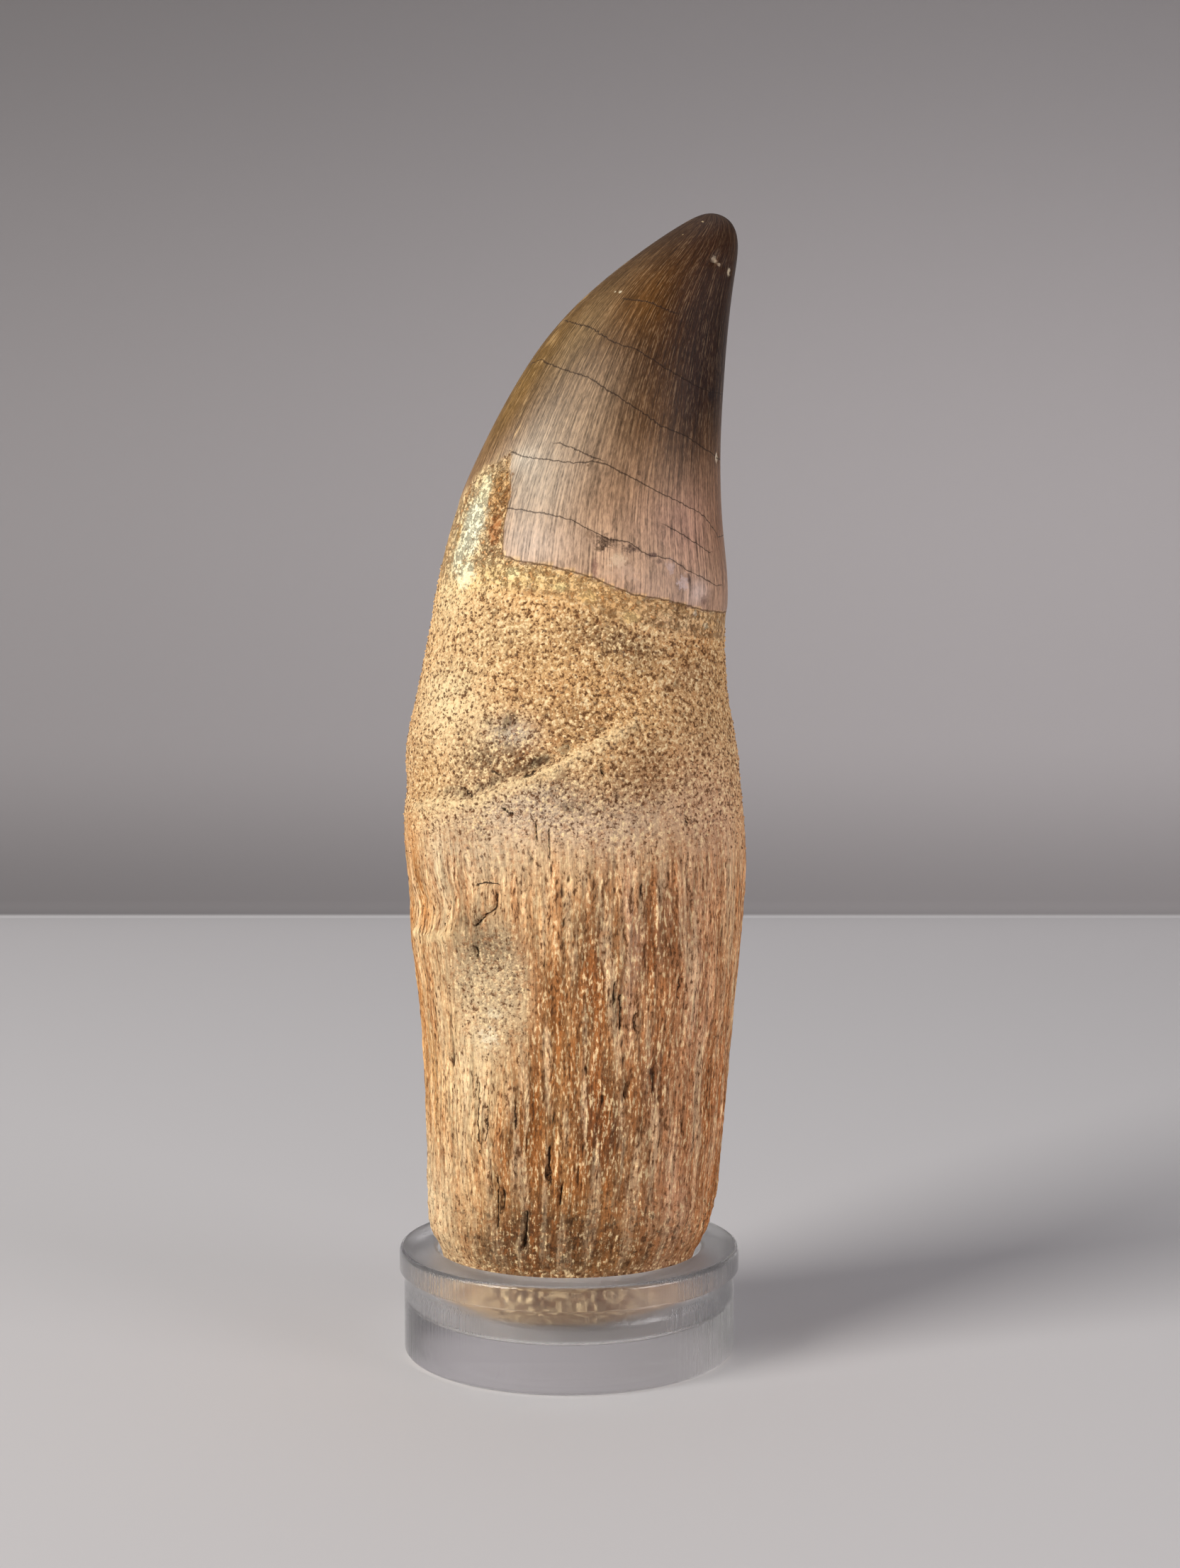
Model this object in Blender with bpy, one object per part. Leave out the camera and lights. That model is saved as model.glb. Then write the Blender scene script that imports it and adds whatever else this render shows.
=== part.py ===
"""Fossil mosasaur tooth with its root, standing upright in the round seat of a small clear stand.

The tooth grew as one piece, crown and root together, so it is one solid.
The stand is a turned disc with a blind seat in its top, so it is a second solid.

Frame: +Z up, origin at the centre of the stand's underside, on the surface it stands on.
-Y is the front, and the tip of the crown leans towards +X.
Directions round the tooth are azimuths in degrees: 0 is the front (-Y) and 90 is +X.
"""

import math

import bmesh
import bpy
from mathutils import Vector, noise

MM = 0.001

# Stand: a turned disc with a lip round its top and a blind seat that holds the end of the root.
LIP_RADIUS = 16.0 * MM
BODY_RADIUS = 15.5 * MM
STAND_HEIGHT = 9.9 * MM
LIP_HEIGHT = 2.3 * MM
LIP_SLOPE = 0.5 * MM
SEAT_RADIUS = 12.4 * MM
SEAT_FLOOR = 3.8 * MM
FOOT_CHAMFER = 0.4 * MM
RIM_ROUND = 0.35 * MM
STAND_SEGMENTS = 72

# Tooth: total heights above the table, and how finely its skin is drawn.
SEAT_GAP = 0.3 * MM
FOOT_HEIGHT = SEAT_FLOOR + SEAT_GAP
TIP_HEIGHT = 106.1 * MM
COLUMNS = 64
ROW_SPACING = 1.9 * MM
FOOT_ROW_HEIGHTS = [height * MM for height in (4.6, 5.4, 6.6, 8.2, 9.9, 11.2, 12.5)]
TIP_START = 100.0 * MM
TIP_ROWS = 8

# The crown also leans back a little towards +Y, from this height up.
LEAN_START = 60.0 * MM
LEAN_AT_TIP = 1.5 * MM

# Cross sections of the tooth in millimetres: height, left edge, right edge, depth in front, depth behind.
# The sixth value is the roundness: 2 is an ellipse, less is pinched into the cutting edges, more is fuller.
SECTIONS_MM = [
    (4.1, -10.2, 8.8, 9.3, 9.3, 2.0),  # worn flat end of the root, which rests in the seat
    (4.6, -10.95, 9.8, 10.2, 10.2, 2.0),
    (6.2, -11.65, 11.2, 11.3, 11.3, 2.0),
    (9.9, -12.0, 11.95, 11.95, 11.95, 2.0),  # level with the rim of the stand
    (11.4, -13.1, 13.05, 12.5, 12.5, 2.0),  # overhang of the root above the rim
    (13.0, -13.3, 13.5, 12.7, 12.7, 2.05),
    (18.0, -13.35, 14.2, 12.9, 12.8, 2.1),
    (27.0, -13.7, 15.15, 13.2, 13.0, 2.1),
    (36.0, -14.4, 15.9, 13.7, 13.4, 2.1),
    (42.0, -14.95, 16.35, 14.2, 13.8, 2.1),
    (47.0, -15.15, 16.5, 14.4, 14.0, 2.1),  # thickest part of the root
    (52.0, -15.05, 16.1, 14.3, 13.9, 2.1),
    (57.0, -15.15, 15.65, 13.9, 13.6, 2.05),  # shoulder on the left
    (61.0, -14.3, 14.85, 13.2, 13.1, 2.0),
    (66.0, -13.3, 14.65, 12.4, 12.5, 2.0),
    (72.0, -12.3, 14.7, 11.5, 11.7, 1.95),  # foot of the crown
    (78.0, -10.8, 14.1, 10.4, 10.6, 1.9),
    (84.0, -8.15, 13.95, 9.1, 9.3, 1.9),
    (90.0, -5.0, 14.25, 7.7, 7.9, 1.9),
    (96.0, -0.85, 14.7, 6.2, 6.3, 1.9),
    (100.0, 3.5, 15.2, 4.9, 5.0, 1.9),
    (103.0, 7.5, 15.65, 3.6, 3.6, 1.95),
    (105.0, 10.5, 15.25, 2.1, 2.1, 2.0),
    (106.1, 13.2, 13.2, 0.0, 0.0, 2.0),  # blunt tip
]

# Lower edge of the enamel round the crown: azimuth in degrees, height in millimetres.
# It rises on the left, where the enamel has flaked away.
ENAMEL_EDGE = [
    (-180, 72.5), (-140, 74.0), (-115, 76.5), (-92, 79.5), (-75, 80.5), (-58, 83.0), (-45, 83.0),
    (-37, 78.0), (-33, 74.3), (-18, 73.5), (5, 72.2), (20, 71.0), (45, 70.1), (75, 69.5), (120, 70.0),
    (180, 72.5),
]
ENAMEL_STEP = 0.30 * MM
ENAMEL_STEP_WIDTH = 1.4 * MM

# Ledge of cemented sand that climbs across the front of the root, and a shorter one low on its left.
# Each path is azimuth in degrees and height in millimetres.
MAIN_LEDGE = [(-76, 51.2), (-48, 52.2), (-30, 52.5), (-14, 54.2), (3, 56.5), (15, 58.4), (27, 59.4)]
LOW_LEDGE = [(-76, 39.6), (-60, 39.8), (-46, 41.0), (-36, 43.0), (-22, 43.4)]
MAIN_LEDGE_RISE = 0.85 * MM
LOW_LEDGE_RISE = 0.55 * MM
LEDGE_UPPER_WIDTH = 1.1 * MM
LEDGE_LOWER_WIDTH = 4.0 * MM
LEDGE_FOOT_DEPTH = 0.45 * MM

# Hollows: azimuth, height, half width, half height and depth, the last four in millimetres. Less than 0 is a lump.
HOLLOWS = [
    (-31, 35.5, 4.4, 6.8, 0.85),  # broken patch on the lower left
    (-22, 58.6, 3.0, 2.2, 0.50),  # sandy pit above the ledge
    (30, 55.5, 3.2, 3.6, 0.45),
    (4, 62.0, 5.5, 3.0, 0.35),
    (-19, 13.5, 2.4, 3.6, 0.60),
    (12, 15.0, 2.0, 4.0, 0.45),
    (-62, 57.0, 4.0, 3.0, -0.40),
    (118, 58.0, 5.0, 5.0, 0.60),
    (150, 33.0, 4.2, 7.0, 0.70),
    (-140, 50.0, 5.0, 4.0, 0.55),
    (-165, 22.0, 3.4, 6.0, 0.60),
    (82, 30.0, 3.0, 8.0, 0.40),
    (178, 60.0, 6.0, 3.0, -0.45),
]

# Long grooves in the lower root: azimuth, lower and upper height, half width and depth in millimetres.
FRONT_GROOVES = [
    (-58, 16, 46, 1.1, 0.40), (-44, 10, 30, 1.2, 0.45), (-14, 12, 47, 1.2, 0.45), (-2, 18, 42, 1.3, 0.40),
    (7, 14, 46, 1.0, 0.45), (21, 12, 44, 1.2, 0.45), (38, 14, 48, 1.2, 0.40), (56, 12, 47, 1.1, 0.45),
]
BACK_GROOVE_COUNT = 13
BACK_GROOVE_START = 72.0
BACK_GROOVE_SPAN = 218.0
GROOVE_END_FADE = 5.0 * MM

LUMP_SIZE = 9.0 * MM
LUMP_HEIGHT = 0.35 * MM
KNOB_SIZE = 3.2 * MM
KNOB_HEIGHT = 0.22 * MM
LUMPS_START = 11.0 * MM
LUMPS_FULL = 15.0 * MM
# The sections already hold the outline seen from the front, so the relief is weaker at the two sides.
SIDE_RELIEF = 0.35
MEAN_ROOT_RADIUS = 14.5 * MM

TOOTH_COLOUR = (0.42, 0.27, 0.13, 1.0)
TOOTH_ROUGHNESS = 0.75
STAND_COLOUR = (0.88, 0.89, 0.90, 1.0)
STAND_ROUGHNESS = 0.05
ACRYLIC_IOR = 1.49


def smoothstep(low, high, value):
    """0 below low, 1 above high, and a smooth rise between them."""
    share = min(1.0, max(0.0, (value - low) / (high - low)))
    return share * share * (3 - 2 * share)


def bump(distance, half_width):
    """A round bump: 1 at the middle, and almost 0 at twice the half width."""
    return math.exp(-((distance / half_width) ** 2))


def hermite(knots, values, at):
    """A smooth curve through values at rising knots, read at one place."""
    last = len(knots) - 1
    span = last - 1
    for index in range(last):
        if at <= knots[index + 1]:
            span = index
            break
    slopes = []
    for index in (span, span + 1):
        if index == 0 or index == last:
            near = min(index, last - 1)
            slopes.append((values[near + 1] - values[near]) / (knots[near + 1] - knots[near]))
            continue
        before = knots[index] - knots[index - 1]
        after = knots[index + 1] - knots[index]
        rise_before = (values[index] - values[index - 1]) / before
        rise_after = (values[index + 1] - values[index]) / after
        slopes.append((rise_before * after + rise_after * before) / (before + after))
    width = knots[span + 1] - knots[span]
    t = min(1.0, max(0.0, (at - knots[span]) / width))
    return (
        values[span] * (2 * t**3 - 3 * t**2 + 1)
        + slopes[0] * width * (t**3 - 2 * t**2 + t)
        + values[span + 1] * (3 * t**2 - 2 * t**3)
        + slopes[1] * width * (t**3 - t**2)
    )


def below_tip(height):
    """The curve's own measure of height: a blunt tip is round because its width follows this square root."""
    return math.sqrt(max(0.0, TIP_HEIGHT - height))


KNOTS = [below_tip(row[0] * MM) for row in reversed(SECTIONS_MM)]


def section(height):
    """Left edge, right edge, front depth, back depth and roundness of the tooth at a height."""
    found = []
    for column in range(1, 6):
        scale = MM if column < 5 else 1.0
        values = [row[column] * scale for row in reversed(SECTIONS_MM)]
        found.append(hermite(KNOTS, values, below_tip(height)))
    return found


def lean(height):
    """How far the middle of the tooth stands behind the stand's axis at a height."""
    share = max(0.0, (height - LEAN_START) / (TIP_HEIGHT - LEAN_START))
    return LEAN_AT_TIP * share * share


def path_offset(path, azimuth, height):
    """Signed distance to a path on the skin, above it counted positive, and how far past its ends the point is."""
    reach = MEAN_ROOT_RADIUS * math.radians(1)
    knots = [point[0] for point in path]
    heights = [point[1] * MM for point in path]
    inside = min(knots[-1], max(knots[0], azimuth))
    level = hermite(knots, heights, inside)
    return height - level, abs(azimuth - inside) * reach


def ledge(path, rise, azimuth, height):
    """A sharp step on its upper side and a long slope below, which fades past the path's ends."""
    offset, beyond = path_offset(path, azimuth, height)
    crest = bump(offset, LEDGE_UPPER_WIDTH if offset > 0 else LEDGE_LOWER_WIDTH)
    foot = bump(offset - 2.2 * LEDGE_UPPER_WIDTH, LEDGE_UPPER_WIDTH)
    return (rise * crest - LEDGE_FOOT_DEPTH * foot) * bump(beyond, LEDGE_LOWER_WIDTH)


def hollows(azimuth, height):
    """All the shallow hollows and swellings of the root."""
    total = 0.0
    for middle, level, half_width, half_height, depth in HOLLOWS:
        turn = (azimuth - middle + 180) % 360 - 180
        across = turn * math.radians(1) * MEAN_ROOT_RADIUS / (half_width * MM)
        along = (height - level * MM) / (half_height * MM)
        total -= depth * MM * math.exp(-((across * across + along * along) ** 1.5))
    return total


def back_grooves():
    """Grooves on the sides and back that the front's own list doesn't reach, at uneven steps."""
    made = []
    for index in range(BACK_GROOVE_COUNT):
        share = (index + 0.35 * math.sin(2.4 * index)) / (BACK_GROOVE_COUNT - 1)
        azimuth = BACK_GROOVE_START + BACK_GROOVE_SPAN * share
        low = 12 + 4 * math.sin(1.7 * index)
        high = 45 + 3 * math.cos(2.9 * index)
        made.append((azimuth, low, high, 1.2 + 0.2 * math.cos(index), 0.42))
    return made


GROOVES = FRONT_GROOVES + back_grooves()


def grooves(azimuth, height):
    """The long grooves between the fibres of the lower root."""
    total = 0.0
    for middle, low, high, half_width, depth in GROOVES:
        turn = (azimuth - middle + 180) % 360 - 180
        across = turn * math.radians(1) * MEAN_ROOT_RADIUS
        fade = smoothstep(low * MM, low * MM + GROOVE_END_FADE, height)
        fade *= 1 - smoothstep(high * MM - GROOVE_END_FADE, high * MM, height)
        total -= depth * MM * fade * bump(across, half_width * MM)
    return total


def enamel_step(azimuth, height):
    """The enamel stands a little proud of the root below its edge."""
    knots = [point[0] for point in ENAMEL_EDGE]
    heights = [point[1] * MM for point in ENAMEL_EDGE]
    edge = hermite(knots, heights, azimuth)
    return ENAMEL_STEP * (smoothstep(-ENAMEL_STEP_WIDTH / 2, ENAMEL_STEP_WIDTH / 2, height - edge) - 0.5)


def lumps(point, height):
    """Uneven swellings of the root, which fade out in the seat and up the crown."""
    broad = noise.noise(point / LUMP_SIZE) * LUMP_HEIGHT
    small = noise.noise(point / KNOB_SIZE) * KNOB_HEIGHT
    fade = smoothstep(LUMPS_START, LUMPS_FULL, height)
    fade *= 1 - 0.85 * smoothstep(66 * MM, 72 * MM, height)
    return (broad + small) * fade


def relief(azimuth, height, point):
    """How far the skin stands out of the smooth form at one place."""
    total = ledge(MAIN_LEDGE, MAIN_LEDGE_RISE, azimuth, height)
    total += ledge(LOW_LEDGE, LOW_LEDGE_RISE, azimuth, height)
    total += hollows(azimuth, height) + grooves(azimuth, height)
    total *= smoothstep(FOOT_ROW_HEIGHTS[4], LUMPS_START, height)
    total += enamel_step(azimuth, height) * smoothstep(60 * MM, 66 * MM, height)
    total += lumps(point, height)
    facing = abs(math.cos(math.radians(azimuth)))
    total *= SIDE_RELIEF + (1 - SIDE_RELIEF) * smoothstep(0.0, 0.45, facing)
    return total * smoothstep(0.0, 4 * MM, TIP_HEIGHT - height)


def skin_point(azimuth, height, outline):
    """The point of the tooth's skin in one direction at one height, whose section is given."""
    left, right, front, back, roundness = outline
    across = math.sin(math.radians(azimuth))
    ahead = math.cos(math.radians(azimuth))
    half_width = (right - left) / 2
    depth = front if ahead > 0 else back
    power = 2 / roundness
    x = (left + right) / 2 + half_width * math.copysign(abs(across) ** power, across)
    y = lean(height) - depth * math.copysign(abs(ahead) ** power, ahead)
    outward = Vector((across * depth, -ahead * half_width, 0)).normalized()
    point = Vector((x, y, height))
    return point + outward * relief(azimuth, height, point)


def row_heights():
    """Heights of the rows of the tooth's skin: close at the foot and at the tip, even between them."""
    heights = [FOOT_HEIGHT] + FOOT_ROW_HEIGHTS
    steps = math.ceil((TIP_START - heights[-1]) / ROW_SPACING)
    start = heights[-1]
    heights += [start + (TIP_START - start) * step / steps for step in range(1, steps + 1)]
    first = below_tip(TIP_START)
    heights += [TIP_HEIGHT - (first * (1 - step / TIP_ROWS)) ** 2 for step in range(1, TIP_ROWS)]
    return heights


def make_tooth():
    """Crown and root as one skin: a flat foot, rings of points up to the tip, and the tip's own point."""
    mesh = bmesh.new()
    rings = []
    for height in row_heights():
        outline = section(height)
        azimuths = [-180 + 360 * column / COLUMNS for column in range(COLUMNS)]
        rings.append([mesh.verts.new(skin_point(azimuth, height, outline)) for azimuth in azimuths])
    for lower, upper in zip(rings, rings[1:]):
        for column in range(COLUMNS):
            after = (column + 1) % COLUMNS
            mesh.faces.new((lower[column], lower[after], upper[after], upper[column]))
    mesh.faces.new(list(reversed(rings[0])))
    left = section(TIP_HEIGHT)[0]
    tip = mesh.verts.new((left, lean(TIP_HEIGHT), TIP_HEIGHT))
    for column in range(COLUMNS):
        mesh.faces.new((rings[-1][column], rings[-1][(column + 1) % COLUMNS], tip))
    return finish_object("tooth", mesh, "fossil tooth", TOOTH_COLOUR, TOOTH_ROUGHNESS)


def make_stand():
    """The stand turned from its half profile: underside, body, lip, rim, seat wall and seat floor."""
    profile = [
        (0.0, 0.0),
        (BODY_RADIUS - FOOT_CHAMFER, 0.0),
        (BODY_RADIUS, FOOT_CHAMFER),
        (BODY_RADIUS, STAND_HEIGHT - LIP_HEIGHT - LIP_SLOPE),
        (LIP_RADIUS, STAND_HEIGHT - LIP_HEIGHT),
        (LIP_RADIUS, STAND_HEIGHT - RIM_ROUND),
        (LIP_RADIUS - RIM_ROUND, STAND_HEIGHT),
        (SEAT_RADIUS + RIM_ROUND, STAND_HEIGHT),
        (SEAT_RADIUS, STAND_HEIGHT - RIM_ROUND),
        (SEAT_RADIUS, SEAT_FLOOR),
        (0.0, SEAT_FLOOR),
    ]
    mesh = bmesh.new()
    points = [mesh.verts.new((radius, 0.0, height)) for radius, height in profile]
    edges = [mesh.edges.new(pair) for pair in zip(points, points[1:])]
    bmesh.ops.spin(
        mesh,
        geom=points + edges,
        cent=(0, 0, 0),
        axis=(0, 0, 1),
        angle=math.tau,
        steps=STAND_SEGMENTS,
        use_merge=True,
    )
    bmesh.ops.remove_doubles(mesh, verts=mesh.verts, dist=0.01 * MM)
    bmesh.ops.recalc_face_normals(mesh, faces=mesh.faces)
    stand = finish_object("stand", mesh, "clear acrylic", STAND_COLOUR, STAND_ROUGHNESS)
    shader = stand.data.materials[0].node_tree.nodes["Principled BSDF"]
    shader.inputs["Transmission Weight"].default_value = 1.0
    shader.inputs["IOR"].default_value = ACRYLIC_IOR
    stand.data.set_sharp_from_angle(angle=math.radians(30))
    return stand


def finish_object(name, mesh, material_name, colour, roughness):
    """Turns a bmesh into a smooth shaded object with its own material."""
    data = bpy.data.meshes.new(name)
    mesh.to_mesh(data)
    mesh.free()
    data.shade_smooth()
    made = bpy.data.objects.new(name, data)
    bpy.context.scene.collection.objects.link(made)
    material = bpy.data.materials.new(material_name)
    material.use_nodes = True
    shader = material.node_tree.nodes["Principled BSDF"]
    shader.inputs["Base Color"].default_value = colour
    shader.inputs["Roughness"].default_value = roughness
    shader.inputs["Metallic"].default_value = 0.0
    data.materials.append(material)
    return made


def main():
    """Empties the scene and makes the stand and the tooth."""
    for old in list(bpy.data.objects):
        bpy.data.objects.remove(old)
    make_stand()
    make_tooth()


main()
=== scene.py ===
"""Looks of a fossil mosasaur tooth on a small clear stand.

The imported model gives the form. This script draws the tooth's skin finely over that form, carves
the small marks that give the fossil its character, cements sand to it, and dresses it and the stand.

Frame: metres, +Z up, the stand's underside on z = 0, -Y towards the viewer.
Places on the tooth are given as an azimuth in degrees (0 is the front, 90 is +X) and a height in
millimetres. Sizes of marks, bumps and grains are in millimetres too.
"""

import logging
import math
from dataclasses import asdict, dataclass, field
from enum import Enum
from typing import Any

import bmesh
import bpy
import numpy as np
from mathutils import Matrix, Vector, noise

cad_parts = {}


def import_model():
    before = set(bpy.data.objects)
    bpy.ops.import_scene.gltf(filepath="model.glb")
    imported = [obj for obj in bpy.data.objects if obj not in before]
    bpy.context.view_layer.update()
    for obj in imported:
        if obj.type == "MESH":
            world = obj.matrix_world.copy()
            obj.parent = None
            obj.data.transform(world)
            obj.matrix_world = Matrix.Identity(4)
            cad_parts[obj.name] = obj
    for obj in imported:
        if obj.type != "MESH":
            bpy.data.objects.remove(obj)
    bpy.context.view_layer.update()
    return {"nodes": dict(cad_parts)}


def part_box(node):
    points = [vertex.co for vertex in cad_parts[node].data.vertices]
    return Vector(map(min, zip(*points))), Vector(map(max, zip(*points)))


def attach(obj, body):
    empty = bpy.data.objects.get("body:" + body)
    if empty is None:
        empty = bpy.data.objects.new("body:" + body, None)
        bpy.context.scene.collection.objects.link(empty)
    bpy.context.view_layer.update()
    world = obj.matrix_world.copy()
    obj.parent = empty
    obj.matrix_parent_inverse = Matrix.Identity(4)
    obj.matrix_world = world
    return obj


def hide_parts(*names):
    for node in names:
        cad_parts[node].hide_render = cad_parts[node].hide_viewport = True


logger = logging.getLogger("fossil_tooth")

MM = 0.001
FAR = 1000.0  # farther than any two points of the tooth are apart, in millimetres
BLACK = (0, 0, 0)
Place = tuple[float, float]
Colour = tuple[float, float, float]


def linear(colour: Colour) -> Colour:
    """Turns a colour as it looks on a screen, 0 to 255, into the linear values that shaders use."""
    shares = [value / 255 for value in colour]
    return tuple(s / 12.92 if s <= 0.04045 else ((s + 0.055) / 1.055) ** 2.4 for s in shares)


def rgba(colour: Colour) -> tuple[float, float, float, float]:
    """A screen colour as the linear, solid colour that a socket takes."""
    return (*linear(colour), 1)


def ramp(low: float, high: float, values: np.ndarray) -> np.ndarray:
    """A smooth rise of the values from 0 at low to 1 at high."""
    share = np.clip((values - low) / (high - low), 0.0, 1.0)
    return share * share * (3 - 2 * share)


def new_object(name: str, data: Any) -> bpy.types.Object:
    """Makes an object of a mesh, a lamp or a camera and links it into the scene."""
    made = bpy.data.objects.new(name, data)
    bpy.context.scene.collection.objects.link(made)
    return made


def smooth_object(name: str, mesh: bmesh.types.BMesh, finish: bpy.types.Material) -> bpy.types.Object:
    """Makes a smooth object of a mesh that has just been built.

    Args:
        name: the object's name.
        mesh: the mesh. It is freed.
        finish: its material.

    Returns:
        The object, linked into the scene.
    """
    data = bpy.data.meshes.new(name)
    mesh.to_mesh(data)
    mesh.free()
    data.shade_smooth()
    data.materials.append(finish)
    return new_object(name, data)


class Wire:
    """A value on its way through a node tree. Arithmetic on it adds the nodes that do the sum."""

    def __init__(self, graph: "Graph", socket: bpy.types.NodeSocket) -> None:
        """Takes hold of a node's output."""
        self.graph = graph
        self.socket = socket

    def __add__(self, other: Any) -> "Wire":
        """The sum of two numbers."""
        return self.graph.math("ADD", self, other)

    def __sub__(self, other: Any) -> "Wire":
        """The difference of two numbers."""
        return self.graph.math("SUBTRACT", self, other)

    def __rsub__(self, other: float) -> "Wire":
        """A plain number less this one."""
        return self.graph.math("SUBTRACT", other, self)

    def __mul__(self, other: Any) -> "Wire":
        """The product of two numbers."""
        return self.graph.math("MULTIPLY", self, other)

    def __truediv__(self, other: Any) -> "Wire":
        """This number divided by another."""
        return self.graph.math("DIVIDE", self, other)

    def __rtruediv__(self, other: float) -> "Wire":
        """A plain number divided by this one."""
        return self.graph.math("DIVIDE", other, self)

    def scaled(self, factor: Any, start: Any) -> "Wire":
        """This number times a factor, added to a start."""
        return self.graph.math("MULTIPLY_ADD", self, factor, start)

    def larger(self, other: Any) -> "Wire":
        """The larger of two numbers."""
        return self.graph.math("MAXIMUM", self, other)

    def rise(self, low: Any, high: Any) -> "Wire":
        """A smooth rise from 0 where this number is low to 1 where it is high."""
        inputs = {"Value": self, "From Min": low, "From Max": high}
        return self.graph.out("ShaderNodeMapRange", inputs, interpolation_type="SMOOTHSTEP")

    def by(self, factors: Any) -> "Wire":
        """This vector with each part multiplied by its own factor."""
        return self.graph.out("ShaderNodeVectorMath", {0: self, 1: factors}, operation="MULTIPLY")

    def amplified(self, gain: Any) -> "Wire":
        """This vector or colour multiplied by one number."""
        return self.graph.out("ShaderNodeVectorMath", {0: self, "Scale": gain}, operation="SCALE")

    def length(self) -> "Wire":
        """The length of this vector."""
        return self.graph.out("ShaderNodeVectorMath", {0: self}, "Value", operation="LENGTH")

    def parts(self) -> list["Wire"]:
        """The three numbers of this vector."""
        return list(self.graph.outputs("ShaderNodeSeparateXYZ", {0: self}).values())

    def counted(self, width: "Wire", length: "Wire") -> "Wire":
        """This coordinate counted in widths across the grain and in lengths along it."""
        across = 1.0 / width
        return self.by(self.graph.out("ShaderNodeCombineXYZ", {0: across, 1: across, 2: 1.0 / length}))

    def noise(self, scale: Any, detail: float = 2.0, roughness: float = 0.5) -> "Wire":
        """A cloudy value, around 0.5, at this coordinate."""
        inputs = {"Vector": self, "Scale": scale, "Detail": detail, "Roughness": roughness}
        return self.graph.out("ShaderNodeTexNoise", inputs)

    def painted(self, share: Any, layer: Any) -> "Wire":
        """This colour with another laid over it.

        Args:
            share: how much of the layer shows.
            layer: another wire, or a plain colour as it looks on a screen.

        Returns:
            The blended colour.
        """
        top = layer if isinstance(layer, Wire) else rgba(layer)
        return self.graph.out("ShaderNodeMix", {0: share, 6: self, 7: top}, 2, data_type="RGBA")


class Graph:
    """A node tree while it is being wired."""

    def __init__(self, tree: bpy.types.NodeTree) -> None:
        """Starts from a tree, which it empties."""
        self.tree = tree
        tree.nodes.clear()

    def connect(self, node: bpy.types.Node, inputs: dict[Any, Any]) -> None:
        """Links wires to a node's inputs, or sets the inputs' own values.

        Args:
            node: a node of this tree.
            inputs: what each input gets, by the input's name or number.
        """
        for key, value in inputs.items():
            if isinstance(value, Wire):
                self.tree.links.new(value.socket, node.inputs[key])
            else:
                node.inputs[key].default_value = value

    def add(self, kind: str, inputs: dict[Any, Any] | None = None, **settings: Any) -> bpy.types.Node:
        """Adds a node.

        Args:
            kind: the node's type.
            inputs: what each input gets, by the input's name or number.
            settings: the node's own properties.

        Returns:
            The new node.
        """
        node = self.tree.nodes.new(kind)
        for name, value in settings.items():
            setattr(node, name, value)
        self.connect(node, inputs or {})
        return node

    def out(self, kind: str, inputs: dict[Any, Any] | None = None, output: Any = 0, **settings: Any) -> Wire:
        """Adds a node and takes hold of one of its outputs, given by name or number."""
        return Wire(self, self.add(kind, inputs, **settings).outputs[output])

    def outputs(self, kind: str, inputs: dict[Any, Any], **settings: Any) -> dict[str, Wire]:
        """Adds a node and takes hold of all its outputs, by name."""
        return {output.name: Wire(self, output) for output in self.add(kind, inputs, **settings).outputs}

    def math(self, operation: str, first: Any, second: Any = 0.0, third: Any = 0.0, clamp: bool = False) -> Wire:
        """One step of arithmetic on numbers."""
        return self.out("ShaderNodeMath", {0: first, 1: second, 2: third}, operation=operation, use_clamp=clamp)

    def mix(self, share: Any, first: Any, second: Any) -> Wire:
        """Goes from the first number to the second as the share goes from 0 to 1."""
        return self.out("ShaderNodeMix", {0: share, 2: first, 3: second}, data_type="FLOAT")

    def use(self, group: bpy.types.NodeTree, inputs: dict[str, Any]) -> dict[str, Wire]:
        """Places a shared shader group, feeds it and gives its outputs by name."""
        return self.outputs("ShaderNodeGroup", inputs, node_tree=group)

    def attribute(self, name: str, part: str = "Fac") -> Wire:
        """Reads a stored field of the mesh in a material."""
        return self.out("ShaderNodeAttribute", output=part, attribute_name=name)

    def stored(self, name: str, kind: str = "FLOAT") -> Wire:
        """Reads a stored field of the mesh in a geometry group."""
        return self.out("GeometryNodeInputNamedAttribute", {"Name": name}, data_type=kind)


class Surface(Graph):
    """A material with a Principled shader on its output."""

    def __init__(self, name: str) -> None:
        """Makes the material."""
        self.material = bpy.data.materials.new(name)
        self.material.use_nodes = True
        super().__init__(self.material.node_tree)
        self.shader = self.add("ShaderNodeBsdfPrincipled")
        self.output = self.add("ShaderNodeOutputMaterial", {"Surface": Wire(self, self.shader.outputs[0])})

    def place(self) -> Wire:
        """Where each point of the object lies, in millimetres."""
        return self.out("ShaderNodeTexCoord", output="Object").by((1 / MM,) * 3)

    def bump(self, height: Wire) -> Wire:
        """The direction of a surface with fine relief, from its height in millimetres."""
        return self.out("ShaderNodeBump", {"Strength": 1.0, "Distance": MM, "Height": height})


class TreeKind(Enum):
    """Kinds of node group."""

    SHADER = "ShaderNodeTree"
    GEOMETRY = "GeometryNodeTree"


class SocketKind(Enum):
    """Kinds of socket that the groups have."""

    NUMBER = "NodeSocketFloat"
    VECTOR = "NodeSocketVector"
    COLOUR = "NodeSocketColor"
    WHOLE = "NodeSocketInt"
    SHAPE = "NodeSocketGeometry"
    FINISH = "NodeSocketMaterial"


Sockets = dict[SocketKind, tuple[str, ...]]


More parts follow.
